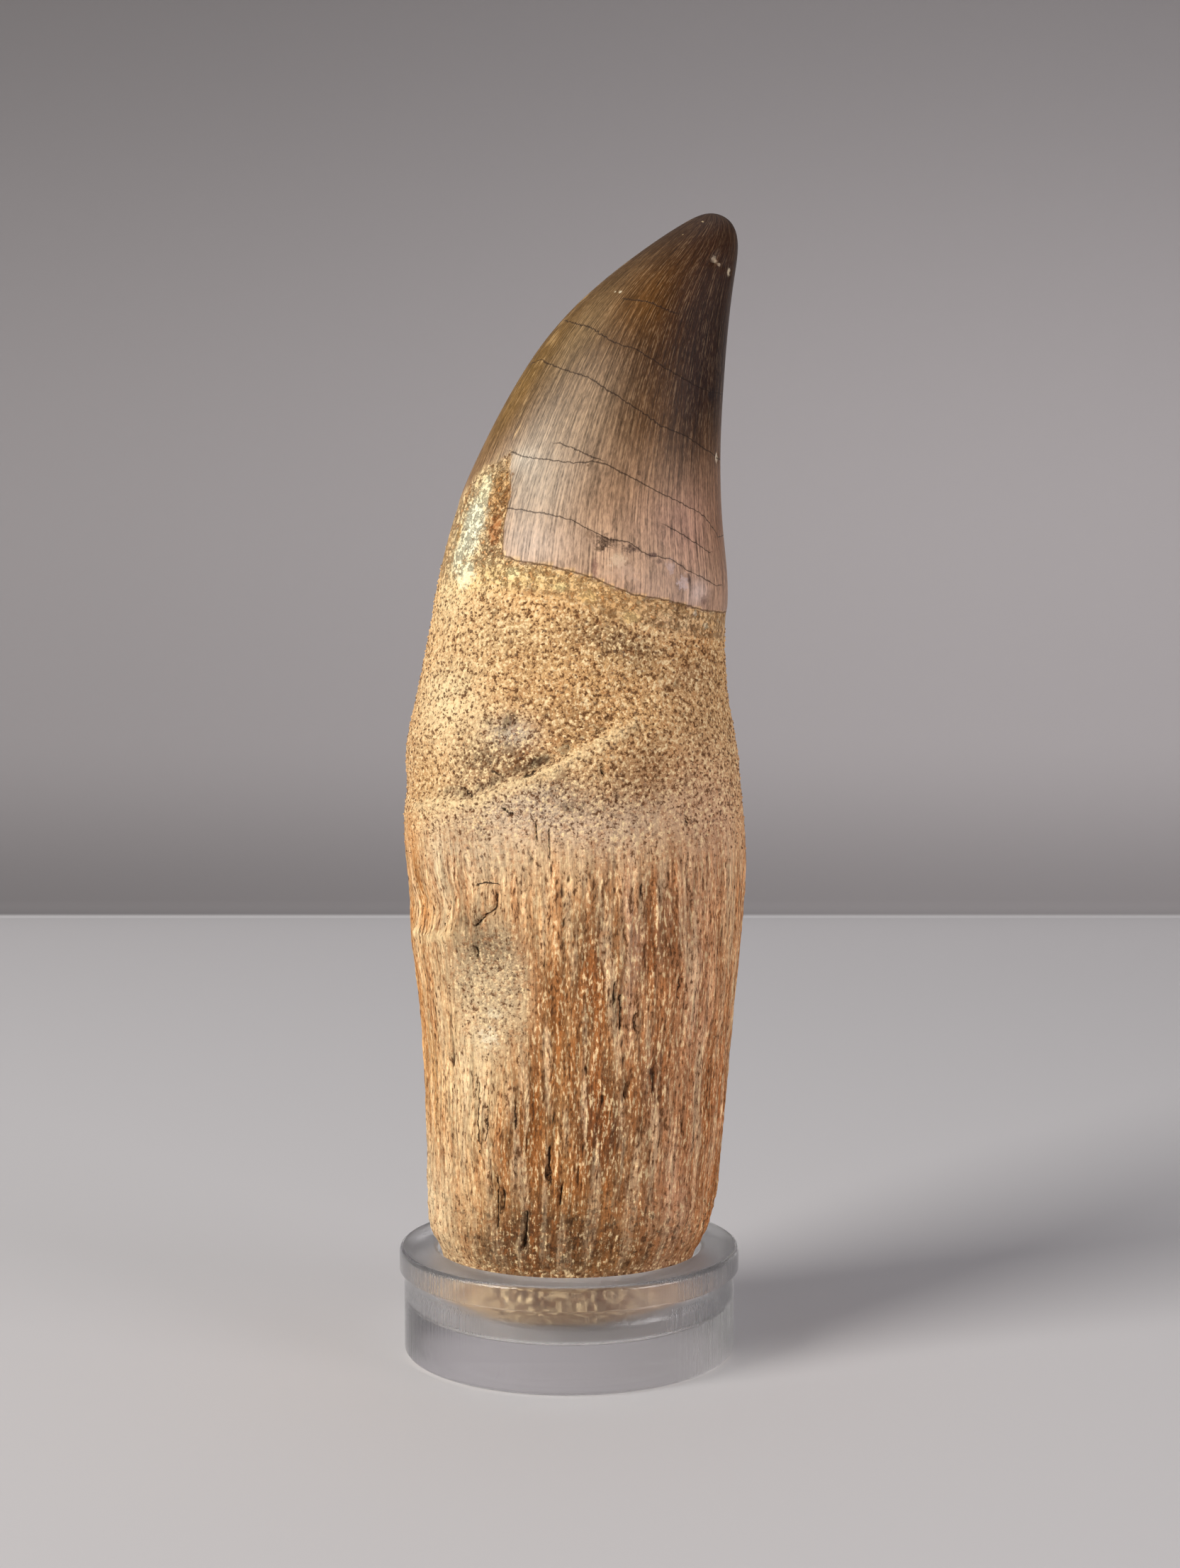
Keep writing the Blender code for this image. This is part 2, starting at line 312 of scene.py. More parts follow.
class Group(Graph):
    """A node group with named inputs and outputs."""

    def __init__(self, name: str, kind: TreeKind, takes: Sockets, gives: Sockets) -> None:
        """Makes the empty group.

        Args:
            name: the group's name.
            kind: shader or geometry.
            takes: the names of the inputs of each kind.
            gives: the names of the outputs of each kind.
        """
        super().__init__(bpy.data.node_groups.new(name, kind.value))
        for side, sockets in (("INPUT", takes), ("OUTPUT", gives)):
            for socket_kind, labels in sockets.items():
                for label in labels:
                    self.tree.interface.new_socket(label, in_out=side, socket_type=socket_kind.value)
        self.start = self.add("NodeGroupInput")
        self.end = self.add("NodeGroupOutput")

    def __getitem__(self, name: str) -> Wire:
        """What comes in through one of the group's inputs."""
        return Wire(self, self.start.outputs[name])

    def give(self, name: str, value: Wire) -> None:
        """Sends a value out of the group."""
        self.connect(self.end, {name: value})

    def give_dressed(self, name: str, shape: Wire) -> None:
        """Ends a geometry group: the shape goes out as one real mesh in the finish that came in."""
        real = self.out("GeometryNodeRealizeInstances", {0: shape})
        self.give(name, self.out("GeometryNodeSetMaterial", {"Geometry": real, "Material": self["Finish"]}))


class SharedEffects:
    """The shader groups that more than one finish uses, each built once."""

    def __init__(self) -> None:
        """Builds the groups."""
        self.grit = self.build_grit()
        self.streaks = self.build_streaks()
        self.hairline = self.build_hairline()
        self.mottle = self.build_mottle()
        self.spot = self.build_spot()

    def streak(self, grain: Wire, width: float, length: float) -> Wire:
        """Fibres of one width and one length that run along the grain."""
        return grain.graph.use(self.streaks, {"Grain": grain, "Width": width, "Length": length})["Streak"]

    def build_grit(self) -> bpy.types.NodeTree:
        """Sand grains: each has a tone of its own, and stands out as a small dome."""
        takes = {SocketKind.VECTOR: ("Place",), SocketKind.NUMBER: ("Grain Size",)}
        group = Group("grit", TreeKind.SHADER, takes, {SocketKind.NUMBER: ("Tone", "Height")})
        inputs = {"Vector": group["Place"], "Scale": 1.0 / group["Grain Size"]}
        cells = group.outputs("ShaderNodeTexVoronoi", inputs, feature="F1")
        group.give("Tone", group.out("ShaderNodeSeparateColor", {0: cells["Color"]}))
        group.give("Height", group.math("SUBTRACT", 1.0, cells["Distance"], clamp=True))
        return group.tree

    def build_streaks(self) -> bpy.types.NodeTree:
        """Fibres that run up the tooth, as long thin clouds."""
        takes = {SocketKind.VECTOR: ("Grain",), SocketKind.NUMBER: ("Width", "Length")}
        group = Group("streaks", TreeKind.SHADER, takes, {SocketKind.NUMBER: ("Streak",)})
        place = group["Grain"].counted(group["Width"], group["Length"])
        group.give("Streak", place.noise(1.0, 3.0, 0.6).rise(0.3, 0.7))
        return group.tree

    def build_hairline(self) -> bpy.types.NodeTree:
        """A thin dark crack where the distance across it passes 0, up to where it ends."""
        takes = {SocketKind.VECTOR: ("Place",), SocketKind.NUMBER: ("Across", "Weight", "Width", "Wander")}
        group = Group("hairline", TreeKind.SHADER, takes, {SocketKind.NUMBER: ("Mask",)})
        drift = (group["Place"].noise(1.6, 3.0) - 0.5) * group["Wander"]
        off = group.math("ABSOLUTE", group["Across"] + drift)
        width = group["Width"] * (group["Place"].noise(0.9, 1.0) + 0.3)
        line = 1.0 - off.rise(width * 0.4, width)
        group.give("Mask", group.math("MULTIPLY", line, group["Weight"], clamp=True))
        return group.tree

    def build_spot(self) -> bpy.types.NodeTree:
        """A small spot with a ragged edge about one place."""
        takes = {SocketKind.VECTOR: ("Place", "Centre"), SocketKind.NUMBER: ("Radius", "Stretch", "Ragged")}
        group = Group("spot", TreeKind.SHADER, takes, {SocketKind.NUMBER: ("Mask",)})
        ends = {0: group["Place"], 1: group["Centre"]}
        from_centre = group.out("ShaderNodeVectorMath", ends, operation="SUBTRACT")
        squash = group.out("ShaderNodeCombineXYZ", {0: 1.0, 1: 1.0, 2: 1.0 / group["Stretch"]})
        share = from_centre.by(squash).length() / group["Radius"]
        share = (group["Place"].noise(2.6, 3.0, 0.65) - 0.5).scaled(group["Ragged"], share)
        broken = group["Place"].noise(4.2, 4.0, 0.75).rise(0.38, 0.58).scaled(0.4, 0.6)
        group.give("Mask", (1.0 - share.rise(0.45, 1.1)) * broken)
        return group.tree

    def build_mottle(self) -> bpy.types.NodeTree:
        """Lightens and darkens a colour in soft clouds."""
        colour = {SocketKind.COLOUR: ("Colour",)}
        takes = {**colour, SocketKind.VECTOR: ("Place",), SocketKind.NUMBER: ("Size", "Contrast")}
        group = Group("mottle", TreeKind.SHADER, takes, colour)
        cloud = group["Place"].noise(1.0 / group["Size"], 4.0, 0.6) - 0.5
        group.give("Colour", group["Colour"].amplified(cloud.scaled(group["Contrast"], 1.0)))
        return group.tree


@dataclass(frozen=True)
class Mark:
    """A small blotch or chip with a ragged edge."""

    azimuth: float
    height: float
    radius: float
    stretch: float
    colour: Colour
    strength: float = 0.85
    ragged: float = 1.6


@dataclass(frozen=True)
class FossilFinish:
    """Bone and enamel: one skin, mixed by how far a point lies inside the enamel's edge."""

    bone_roughness: float = 0.78
    collar_roughness: float = 0.42
    enamel_roughness: float = 0.38
    gloss: float = 0.17
    grain_size: float = 0.25
    fibre_grain_size: float = 0.24
    grain_stretch: float = 0.45
    speck_size: float = 0.42
    dash_width: float = 0.20
    dash_length: float = 0.60
    long_dash_width: float = 0.30
    long_dash_length: float = 1.92
    fibre_width: float = 0.36
    fibre_length: float = 4.5
    band_width: float = 1.35
    band_length: float = 13.0
    striation_width: float = 0.18
    striation_length: float = 4.5
    bead_width: float = 0.24
    bead_length: float = 0.6
    flow_width: float = 0.48
    flow_length: float = 16.0
    crack_width: float = 0.085
    bone_cloud: float = 3.4
    enamel_cloud: float = 2.2
    enamel_cloud_contrast: float = 0.5
    rusty_bands: float = 0.45
    pale_bands: float = 0.40
    waxy_share: float = 0.66
    rust_share: float = 0.34
    hollow_shade_share: float = 0.8
    pit_share: float = 0.6
    crest_share: float = 0.35
    slit_share: float = 0.88
    streak_share: float = 0.24
    crack_share: float = 0.7
    slit_wander: float = 0.5
    crack_wander: float = 0.40
    pale_sand: Colour = (246, 216, 166)
    dark_sand: Colour = (92, 56, 28)
    rust: Colour = (166, 98, 44)
    pale_band: Colour = (232, 202, 162)
    slit: Colour = (44, 27, 16)
    crack: Colour = (40, 26, 18)
    ochre: Colour = (212, 142, 76)
    edge_line: Colour = (92, 62, 36)
    enamel_streak: Colour = (178, 150, 116)
    marks: tuple[Mark, ...] = (
        # blotches near the foot of the crown, the pale patch beside them
        Mark(8, 75.3, 1.0, 0.75, (62, 44, 34), 0.95, 2.6),
        Mark(6, 74.6, 0.45, 0.7, (74, 54, 40), 0.8),
        Mark(13, 73.9, 1.0, 0.7, (216, 188, 158), 0.7, 2.8),
        Mark(17, 72.9, 1.5, 0.6, (204, 170, 146), 0.55, 2.8),
        Mark(9, 72.6, 0.7, 0.6, (204, 170, 142), 0.5, 2.4),
        Mark(4.5, 73.2, 0.42, 2.2, (122, 82, 72), 0.6, 2.2),
        Mark(2, 76.0, 0.5, 1.2, (96, 70, 52), 0.5, 2.2),
        Mark(-40, 81.4, 0.25, 0.9, (120, 84, 48), 0.7, 2.0),
        Mark(-43, 79.2, 0.35, 1.3, (110, 74, 38), 0.7, 2.2),
        Mark(-41.5, 75.0, 0.4, 1.0, (128, 84, 44), 0.7, 2.2),
        Mark(-47, 81.6, 0.4, 0.8, (150, 110, 56), 0.6, 2.2),
        Mark(54, 70.3, 0.5, 1.4, (84, 52, 44), 0.55, 2.2),
        Mark(19, 75.0, 0.8, 0.5, (66, 46, 40), 0.85, 2.8),
        Mark(28, 74.3, 0.55, 0.5, (76, 52, 48), 0.8),
        Mark(31, 73.5, 0.35, 0.8, (70, 48, 46), 0.7),
        Mark(45, 72.4, 0.30, 2.2, (56, 38, 40), 0.8),
        # lilac-grey marks at the crown's foot: pale enamel, brightened as a painted highlight
        Mark(42, 71.6, 0.7, 1.1, (212, 188, 184), 0.65, 2.4),
        Mark(36, 73.2, 0.5, 1.6, (200, 176, 172), 0.5, 2.4),
        Mark(62, 89.0, 0.8, 0.9, (30, 19, 18), 0.8),
        Mark(20, 81.6, 0.22, 1.4, (76, 54, 40), 0.7),
        Mark(-3, 82.0, 0.15, 1.0, (84, 62, 44), 0.7),
        # chips through to paler enamel
        Mark(36, 101.4, 0.42, 1.0, (196, 176, 150), 0.85),
        Mark(44, 100.9, 0.26, 0.8, (180, 158, 132), 0.75),
        Mark(62, 100.2, 0.36, 1.2, (214, 196, 166), 0.85),
        Mark(-31.5, 98.1, 0.22, 0.9, (216, 202, 172), 0.9),
        Mark(-36, 98.4, 0.13, 0.9, (206, 190, 158), 0.8),
        Mark(-12, 105.0, 0.13, 1.0, (188, 166, 128), 0.8),
        Mark(-24, 103.5, 0.10, 1.0, (170, 146, 104), 0.7),
        Mark(74, 83.4, 0.45, 1.2, (222, 204, 178), 0.9),
        Mark(-86, 80.4, 0.30, 1.0, (226, 206, 160), 0.8),
        Mark(140, 95.0, 0.5, 1.0, (200, 180, 148), 0.8),
        Mark(-150, 86.0, 0.6, 0.8, (66, 46, 34), 0.8),
        Mark(170, 78.0, 0.9, 0.6, (204, 184, 152), 0.7),
        # stains of the collar and the bare patch
        Mark(-41.5, 76.8, 0.9, 2.8, (170, 104, 52), 0.9, 2.6),
        Mark(-40, 79.6, 0.6, 2.4, (150, 100, 54), 0.75, 2.4),
        Mark(-48, 81.2, 0.7, 1.6, (164, 116, 62), 0.7, 2.6),
        Mark(-72, 79.4, 0.6, 2.2, (176, 122, 66), 0.7, 2.6),
        Mark(-68, 76.4, 0.5, 2.6, (224, 170, 92), 0.7, 2.4),
        Mark(-20, 70.9, 0.9, 0.5, (150, 98, 52), 0.6, 2.6),
        Mark(12, 69.2, 1.1, 0.5, (150, 104, 58), 0.6, 2.6),
        Mark(-8, 71.4, 0.8, 0.6, (252, 226, 160), 0.7, 2.0),
        Mark(20, 68.9, 1.0, 0.6, (244, 206, 140), 0.7, 2.0),
        # the bare patch: its pale cream pushed to near white, partly a painted highlight where it faces the key
        # light
        Mark(-57, 77.0, 1.9, 2.3, (255, 250, 216), 1.0, 1.1),
        Mark(-57, 80.2, 1.1, 1.8, (255, 242, 196), 0.9, 1.8),
        Mark(-54, 79.8, 0.6, 1.6, (255, 240, 196), 0.8, 1.8),
        Mark(-62, 74.2, 1.1, 1.6, (255, 246, 208), 0.9, 1.6),
        Mark(-54, 72.6, 1.6, 1.0, (255, 246, 206), 0.95, 1.6),
        Mark(-28, 72.6, 0.85, 0.7, (250, 228, 168), 0.8, 1.2),
        Mark(3, 70.6, 1.0, 0.7, (236, 196, 130), 0.7, 2.0),
        Mark(57, 67.9, 0.45, 0.8, (240, 220, 180), 0.8),
        Mark(50, 69.1, 0.35, 0.8, (236, 214, 184), 0.8),
        Mark(26, 70.0, 0.5, 0.6, (120, 78, 42), 0.7),
        Mark(40, 69.3, 0.35, 0.7, (110, 70, 40), 0.7),
        # bright broken spot low on the left
        Mark(-32.5, 31.4, 1.0, 0.9, (250, 238, 206), 0.5, 4.6),
        Mark(-29, 33.6, 0.8, 0.7, (238, 224, 190), 0.5, 2.4),
    )

    def material(self, effects: SharedEffects, places: list[Vector]) -> bpy.types.Material:
        """Wires the finish.

        Args:
            effects: the shared shader groups.
            places: where each mark lies on the tooth, in millimetres.

        Returns:
            The material of the tooth's skin.
        """
        surface = Surface("fossil bone and enamel")
        grain = surface.attribute("grain", "Vector")
        place = surface.place()
        patina = surface.attribute("patina", "Color")
        collar = place.noise(0.9, 3.0, 0.6).scaled(0.7, surface.attribute("collar")).rise(0.72, 0.98)
        bone, bone_height = self.bone(effects, patina, grain, place, collar)
        enamel, enamel_height = self.enamel(effects, patina, grain, place)
        frayed = surface.attribute("frayed")
        wave = place.noise(1.3, 4.0, 0.65) - 0.5
        edge = wave.scaled(frayed.scaled(3.6, 0.35), surface.attribute("enamel"))
        covered = edge.rise(-0.05, 0.05)
        rim = 1.0 - surface.math("ABSOLUTE", edge).rise(0.02, 0.13)
        sharp = surface.math("SUBTRACT", 0.8, frayed * 0.7, clamp=True)
        skin = bone.painted(covered, enamel).painted(rim * sharp, self.edge_line)
        for mark, centre in zip(self.marks, places):
            shape = {"Place": place, "Centre": centre, "Radius": mark.radius}
            shape.update({"Stretch": mark.stretch, "Ragged": mark.ragged})
            skin = skin.painted(surface.use(effects.spot, shape)["Mask"] * mark.strength, mark.colour)
        height = surface.mix(covered, bone_height, enamel_height + 0.05)
        bone_part = surface.mix(collar, self.bone_roughness, self.collar_roughness)
        inputs = {
            "Base Color": skin,
            "Roughness": surface.mix(covered, bone_part, self.enamel_roughness),
            "Normal": surface.bump(height),
            "Specular IOR Level": self.gloss,
        }
        surface.connect(surface.shader, inputs)
        return surface.material

    def bone(
        self, effects: SharedEffects, patina: Wire, grain: Wire, place: Wire, collar: Wire
    ) -> tuple[Wire, Wire]:
        """The root: fibres low down, cemented sand higher up, a waxy collar under the crown, painted shade in every
        hollow.

        Args:
            effects: the shared shader groups.
            patina: the broad colour at each point.
            grain: the coordinate that runs along the fibres.
            place: the plain coordinate.
            collar: how much of the smooth collar there is.

        Returns:
            The colour, and the height of the fine relief.
        """
        surface = patina.graph
        fibrous = surface.attribute("fibrous")
        relief = surface.attribute("relief")
        rough_part = 1.0 - collar

        # broad colour: clouds, rusty and pale bands among the fibres, ochre wax, rust
        clouds = {"Colour": patina, "Place": place, "Size": self.bone_cloud}
        clouds["Contrast"] = rough_part.scaled(0.55, 0.25)
        colour = surface.use(effects.mottle, clouds)["Colour"]
        bands = effects.streak(grain, self.band_width, self.band_length)
        colour = colour.painted(bands.rise(0.5, 0.1) * fibrous * self.rusty_bands, self.rust)
        colour = colour.painted(bands.rise(0.55, 0.95) * fibrous * self.pale_bands, self.pale_band)
        waxy = place.noise(1.5, 6.0, 0.85).rise(0.47, 0.60)
        colour = colour.painted(waxy * (collar * self.waxy_share), self.ochre)
        rusty = place.noise(1.7, 4.0, 0.75).rise(0.50, 0.60)
        colour = colour.painted(rusty * rough_part * self.rust_share, self.rust)

        # light and dark grains, which turn into beads along the fibres
        grit = surface.use(effects.grit, {"Place": place, "Grain Size": self.grain_size})
        drawn_out = {"Place": grain.by((1.0, 1.0, self.grain_stretch)), "Grain Size": self.fibre_grain_size}
        long_grit = surface.use(effects.grit, drawn_out)
        dashes = effects.streak(grain, self.dash_width, self.dash_length)
        dashes = surface.mix(0.38, dashes, effects.streak(grain, self.long_dash_width, self.long_dash_length))
        specks = place.noise(1.0 / self.speck_size, 4.0, 0.7).rise(0.34, 0.66)
        tone = surface.mix(0.55, surface.mix(fibrous, grit["Tone"], long_grit["Tone"]), specks)
        tone = surface.mix(fibrous * 0.85, tone, dashes)
        weight = rough_part.scaled(0.37, 0.55)
        light = tone.rise(0.56, 0.82) * weight * fibrous.scaled(-0.28, 1.0)
        dark = tone.rise(0.44, 0.18) * weight
        colour = colour.painted(light, self.pale_sand).painted(dark, self.dark_sand)
        streaks = effects.streak(grain, self.fibre_width, self.fibre_length)
        colour = colour.painted(fibrous * 0.9, colour.amplified(streaks.scaled(0.84, 0.61)))

        # pale crests, hollows darkened as painted shade, pits and slits
        pits = place.noise(1.3, 3.0, 0.7).rise(0.47, 0.36) * surface.attribute("knobs") * self.pit_share
        hollow = (relief.rise(-0.05, -0.34) * self.hollow_shade_share).larger(pits)
        across, beyond, width = surface.attribute("slit", "Vector").parts()
        line = {"Across": across, "Weight": 1.0 - beyond.rise(0.0, 0.25), "Width": width * 0.40}
        line.update({"Place": place, "Wander": self.slit_wander})
        slit = surface.use(effects.hairline, line)["Mask"] * self.slit_share
        colour = colour.painted(relief.rise(0.05, 0.26) * self.crest_share, self.pale_sand)
        # the slits' dark colour: their own in the slits and pits, painted shade in every sunken hollow of the relief
        colour = colour.painted(hollow.larger(slit), self.slit)

        dome = surface.mix(fibrous, grit["Height"], long_grit["Height"])
        height = dome * rough_part.scaled(0.11, 0.02) + streaks * fibrous * 0.10
        height = (waxy * collar).scaled(0.12, height)
        return colour, slit.scaled(-0.2, height)

    def enamel(self, effects: SharedEffects, patina: Wire, grain: Wire, place: Wire) -> tuple[Wire, Wire]:
        """The crown: fine striations that run together at the tip, and dark hairline cracks.

        Args:
            effects: the shared shader groups.
            patina: the broad colour at each point.
            grain: the coordinate that runs along the striations.
            place: the plain coordinate.

        Returns:
            The colour, and the height of the fine relief.
        """
        surface = patina.graph
        fine = effects.streak(grain, self.striation_width, self.striation_length)
        fine = surface.mix(0.42, fine, effects.streak(grain, self.bead_width, self.bead_length))
        flow = effects.streak(grain, self.flow_width, self.flow_length)
        clouds = {"Colour": patina, "Place": place, "Size": self.enamel_cloud}
        clouds["Contrast"] = self.enamel_cloud_contrast
        colour = surface.use(effects.mottle, clouds)["Colour"]
        colour = colour.amplified(fine.scaled(1.35, 0.34)).amplified(flow.scaled(0.36, 0.82))
        colour = colour.painted(fine.rise(0.56, 0.90) * self.streak_share, self.enamel_streak)
        lines = []
        for name in ("crack", "branch"):
            line = {"Across": surface.attribute(name), "Weight": surface.attribute(f"{name}_weight")}
            line.update({"Width": self.crack_width, "Place": grain, "Wander": self.crack_wander})
            lines.append(surface.use(effects.hairline, line)["Mask"])
        crack = lines[0].larger(lines[1])
        colour = colour.painted(crack * self.crack_share, self.crack)
        return colour, crack.scaled(-0.04, fine * 0.020)


@dataclass(frozen=True)
class SandFinish:
    """Loose looking quartz and iron stained grains, each with a tone of its own over the patina."""

    roughness: float = 0.6
    cloud: float = 1.5
    cloud_contrast: float = 0.6
    pale_share: float = 0.45
    dark_share: float = 0.80
    pale: Colour = (226, 194, 146)
    dark: Colour = (86, 54, 28)

    def material(self, effects: SharedEffects) -> bpy.types.Material:
        """Wires the finish.

        Args:
            effects: the shared shader groups.

        Returns:
            The material of the grains.
        """
        surface = Surface("cemented sand")
        tone = surface.attribute("tone")
        clouds = {"Colour": surface.attribute("patina", "Color"), "Place": surface.place()}
        clouds.update({"Size": self.cloud, "Contrast": self.cloud_contrast})
        colour = surface.use(effects.mottle, clouds)["Colour"]
        colour = colour.painted(tone.rise(0.60, 1.0) * self.pale_share, self.pale)
        colour = colour.painted(tone.rise(0.55, 0.1) * self.dark_share, self.dark)
        surface.connect(surface.shader, {"Base Color": colour, "Roughness": self.roughness})
        return surface.material


@dataclass(frozen=True)
class AcrylicFinish:
    """Clear cast acrylic, polished above and below, with the fine upright marks of the cutter on its wall."""

    ior: float = 1.49
    roughness: float = 0.03
    tint: Colour = (254, 254, 255)
    haze: Colour = (226, 224, 232)
    haze_density: float = 1.5
    mark_width: float = 0.22
    mark_length: float = 60.0
    mark_height: float = 0.022
    wall_start: float = 15.3
    lip_start: float = 9.84
    lip_roughness: float = 0.32
    smudge_roughness: float = 0.05
    shadow_passed: float = 0.55
    seat_reach: float = 12.9
    seat_start: float = 1.0

    def material(self, effects: SharedEffects) -> bpy.types.Material:
        """Wires the finish.

        Args:
            effects: the shared shader groups.

        Returns:
            The material of the stand.
        """
        surface = Surface("clear acrylic")
        place = surface.place()
        radius = place.by((1.0, 1.0, 0.0)).length()
        level = place.parts()[2]
        marks = effects.streak(place, self.mark_width, self.mark_length)
        wall = radius.rise(self.wall_start, self.wall_start + 0.1)
        patchy = place.noise(0.12, 1.0).rise(0.35, 0.65)
        lip = level.rise(self.lip_start, self.lip_start + 0.05)
        seat = 1.0 - radius.rise(self.seat_reach, self.seat_reach + 0.2)
        frosted = lip.larger(seat * level.rise(self.seat_start, self.seat_start + 0.2))
        worn = frosted.scaled(self.lip_roughness, self.roughness)
        smudge = place.noise(0.35, 3.0, 0.6).rise(0.5, 0.75)
        inputs = {
            "Base Color": rgba(self.tint),
            "IOR": self.ior,
            "Transmission Weight": 1.0,
            "Roughness": smudge.scaled(self.smudge_roughness, worn),
            "Normal": surface.bump(marks * wall * patchy * self.mark_height),
        }
        surface.connect(surface.shader, inputs)
        haze = {"Color": rgba(self.haze), "Density": self.haze_density}
        passed = surface.out("ShaderNodeLightPath", output="Is Shadow Ray") * self.shadow_passed
        ways = {0: passed, 1: Wire(surface, surface.shader.outputs[0])}
        ways[2] = surface.out("ShaderNodeBsdfTransparent")
        ends = {"Surface": surface.out("ShaderNodeMixShader", ways)}
        ends["Volume"] = surface.out("ShaderNodeVolumeAbsorption", haze)
        surface.connect(surface.output, ends)
        return surface.material


@dataclass(frozen=True)
class Stain:
    """A soft patch of colour on the tooth."""

    azimuth: float
    height: float
    half_width: float
    half_height: float
    colour: Colour
    strength: float = 1.0
    edge: float = 1.0

    def share(self, skin: "SkinGrid") -> np.ndarray:
        """How much of the patch's colour shows at each point of the skin."""
        across = skin.around(self.azimuth, skin.azimuths_warped) / self.half_width
        along = (skin.heights_warped - self.height) / self.half_height
        return self.strength * np.exp(-((across**2 + along**2) ** self.edge))


@dataclass(frozen=True)
class Trace:
    """A line drawn on the tooth: a slit, the crest of a ledge or the edge of the enamel."""

    points: tuple[Place, ...]
    width: float = 0.3
    depth: float = 0.3

    def curve(self, azimuths: np.ndarray) -> np.ndarray:
        """The line's height at each azimuth, where it runs round the tooth without turning back."""
        knots = np.array(self.points)
        return np.interp(azimuths, knots[:, 0], knots[:, 1])

    def offsets(self, skin: "SkinGrid") -> tuple[np.ndarray, np.ndarray]:
        """Where the points of the skin lie from the line, in millimetres.

        Args:
            skin: the grid of the tooth's skin.

        Returns:
            The signed distance across the line, and how far the point lies past the line's nearer end.
        """
        across, beyond, nearest = (np.full(skin.shape, FAR) for _ in range(3))
        last = len(self.points) - 2
        for rank, (start, end) in enumerate(zip(self.points, self.points[1:])):
            run = np.radians(end[0] - start[0]) * skin.radius
            climb = end[1] - start[1]
            length = np.hypot(run, climb)
            side = skin.around(start[0])
            up = skin.heights[:, None] - start[1]
            along = (side * run + up * climb) / length
            over = (side * climb - up * run) / length
            before, after = np.maximum(-along, 0), np.maximum(along - length, 0)
            gap = np.hypot(over, before + after)
            closer = gap < nearest
            nearest = np.where(closer, gap, nearest)
            across = np.where(closer, over, across)
            past = (before if rank == 0 else 0) + (after if rank == last else 0)
            beyond = np.where(closer, past, beyond)
        return across, beyond

    def distance(self, skin: "SkinGrid") -> np.ndarray:
        """Distance in millimetres from each point of the skin to the nearest point of the line."""
        return np.hypot(*self.offsets(skin))


@dataclass(frozen=True)
class Crack(Trace):
    """A hairline crack of the enamel: a line right round the crown, seen from one azimuth to another."""

    start: float = -180
    end: float = 180
    fade: float = 3.0

    def seen(self, azimuths: np.ndarray) -> np.ndarray:
        """How much of the crack shows at each azimuth: 1 between its ends, fading to 0 past them."""
        starting = ramp(self.start - self.fade, self.start + self.fade, azimuths)
        return starting * (1 - ramp(self.end - self.fade, self.end + self.fade, azimuths))


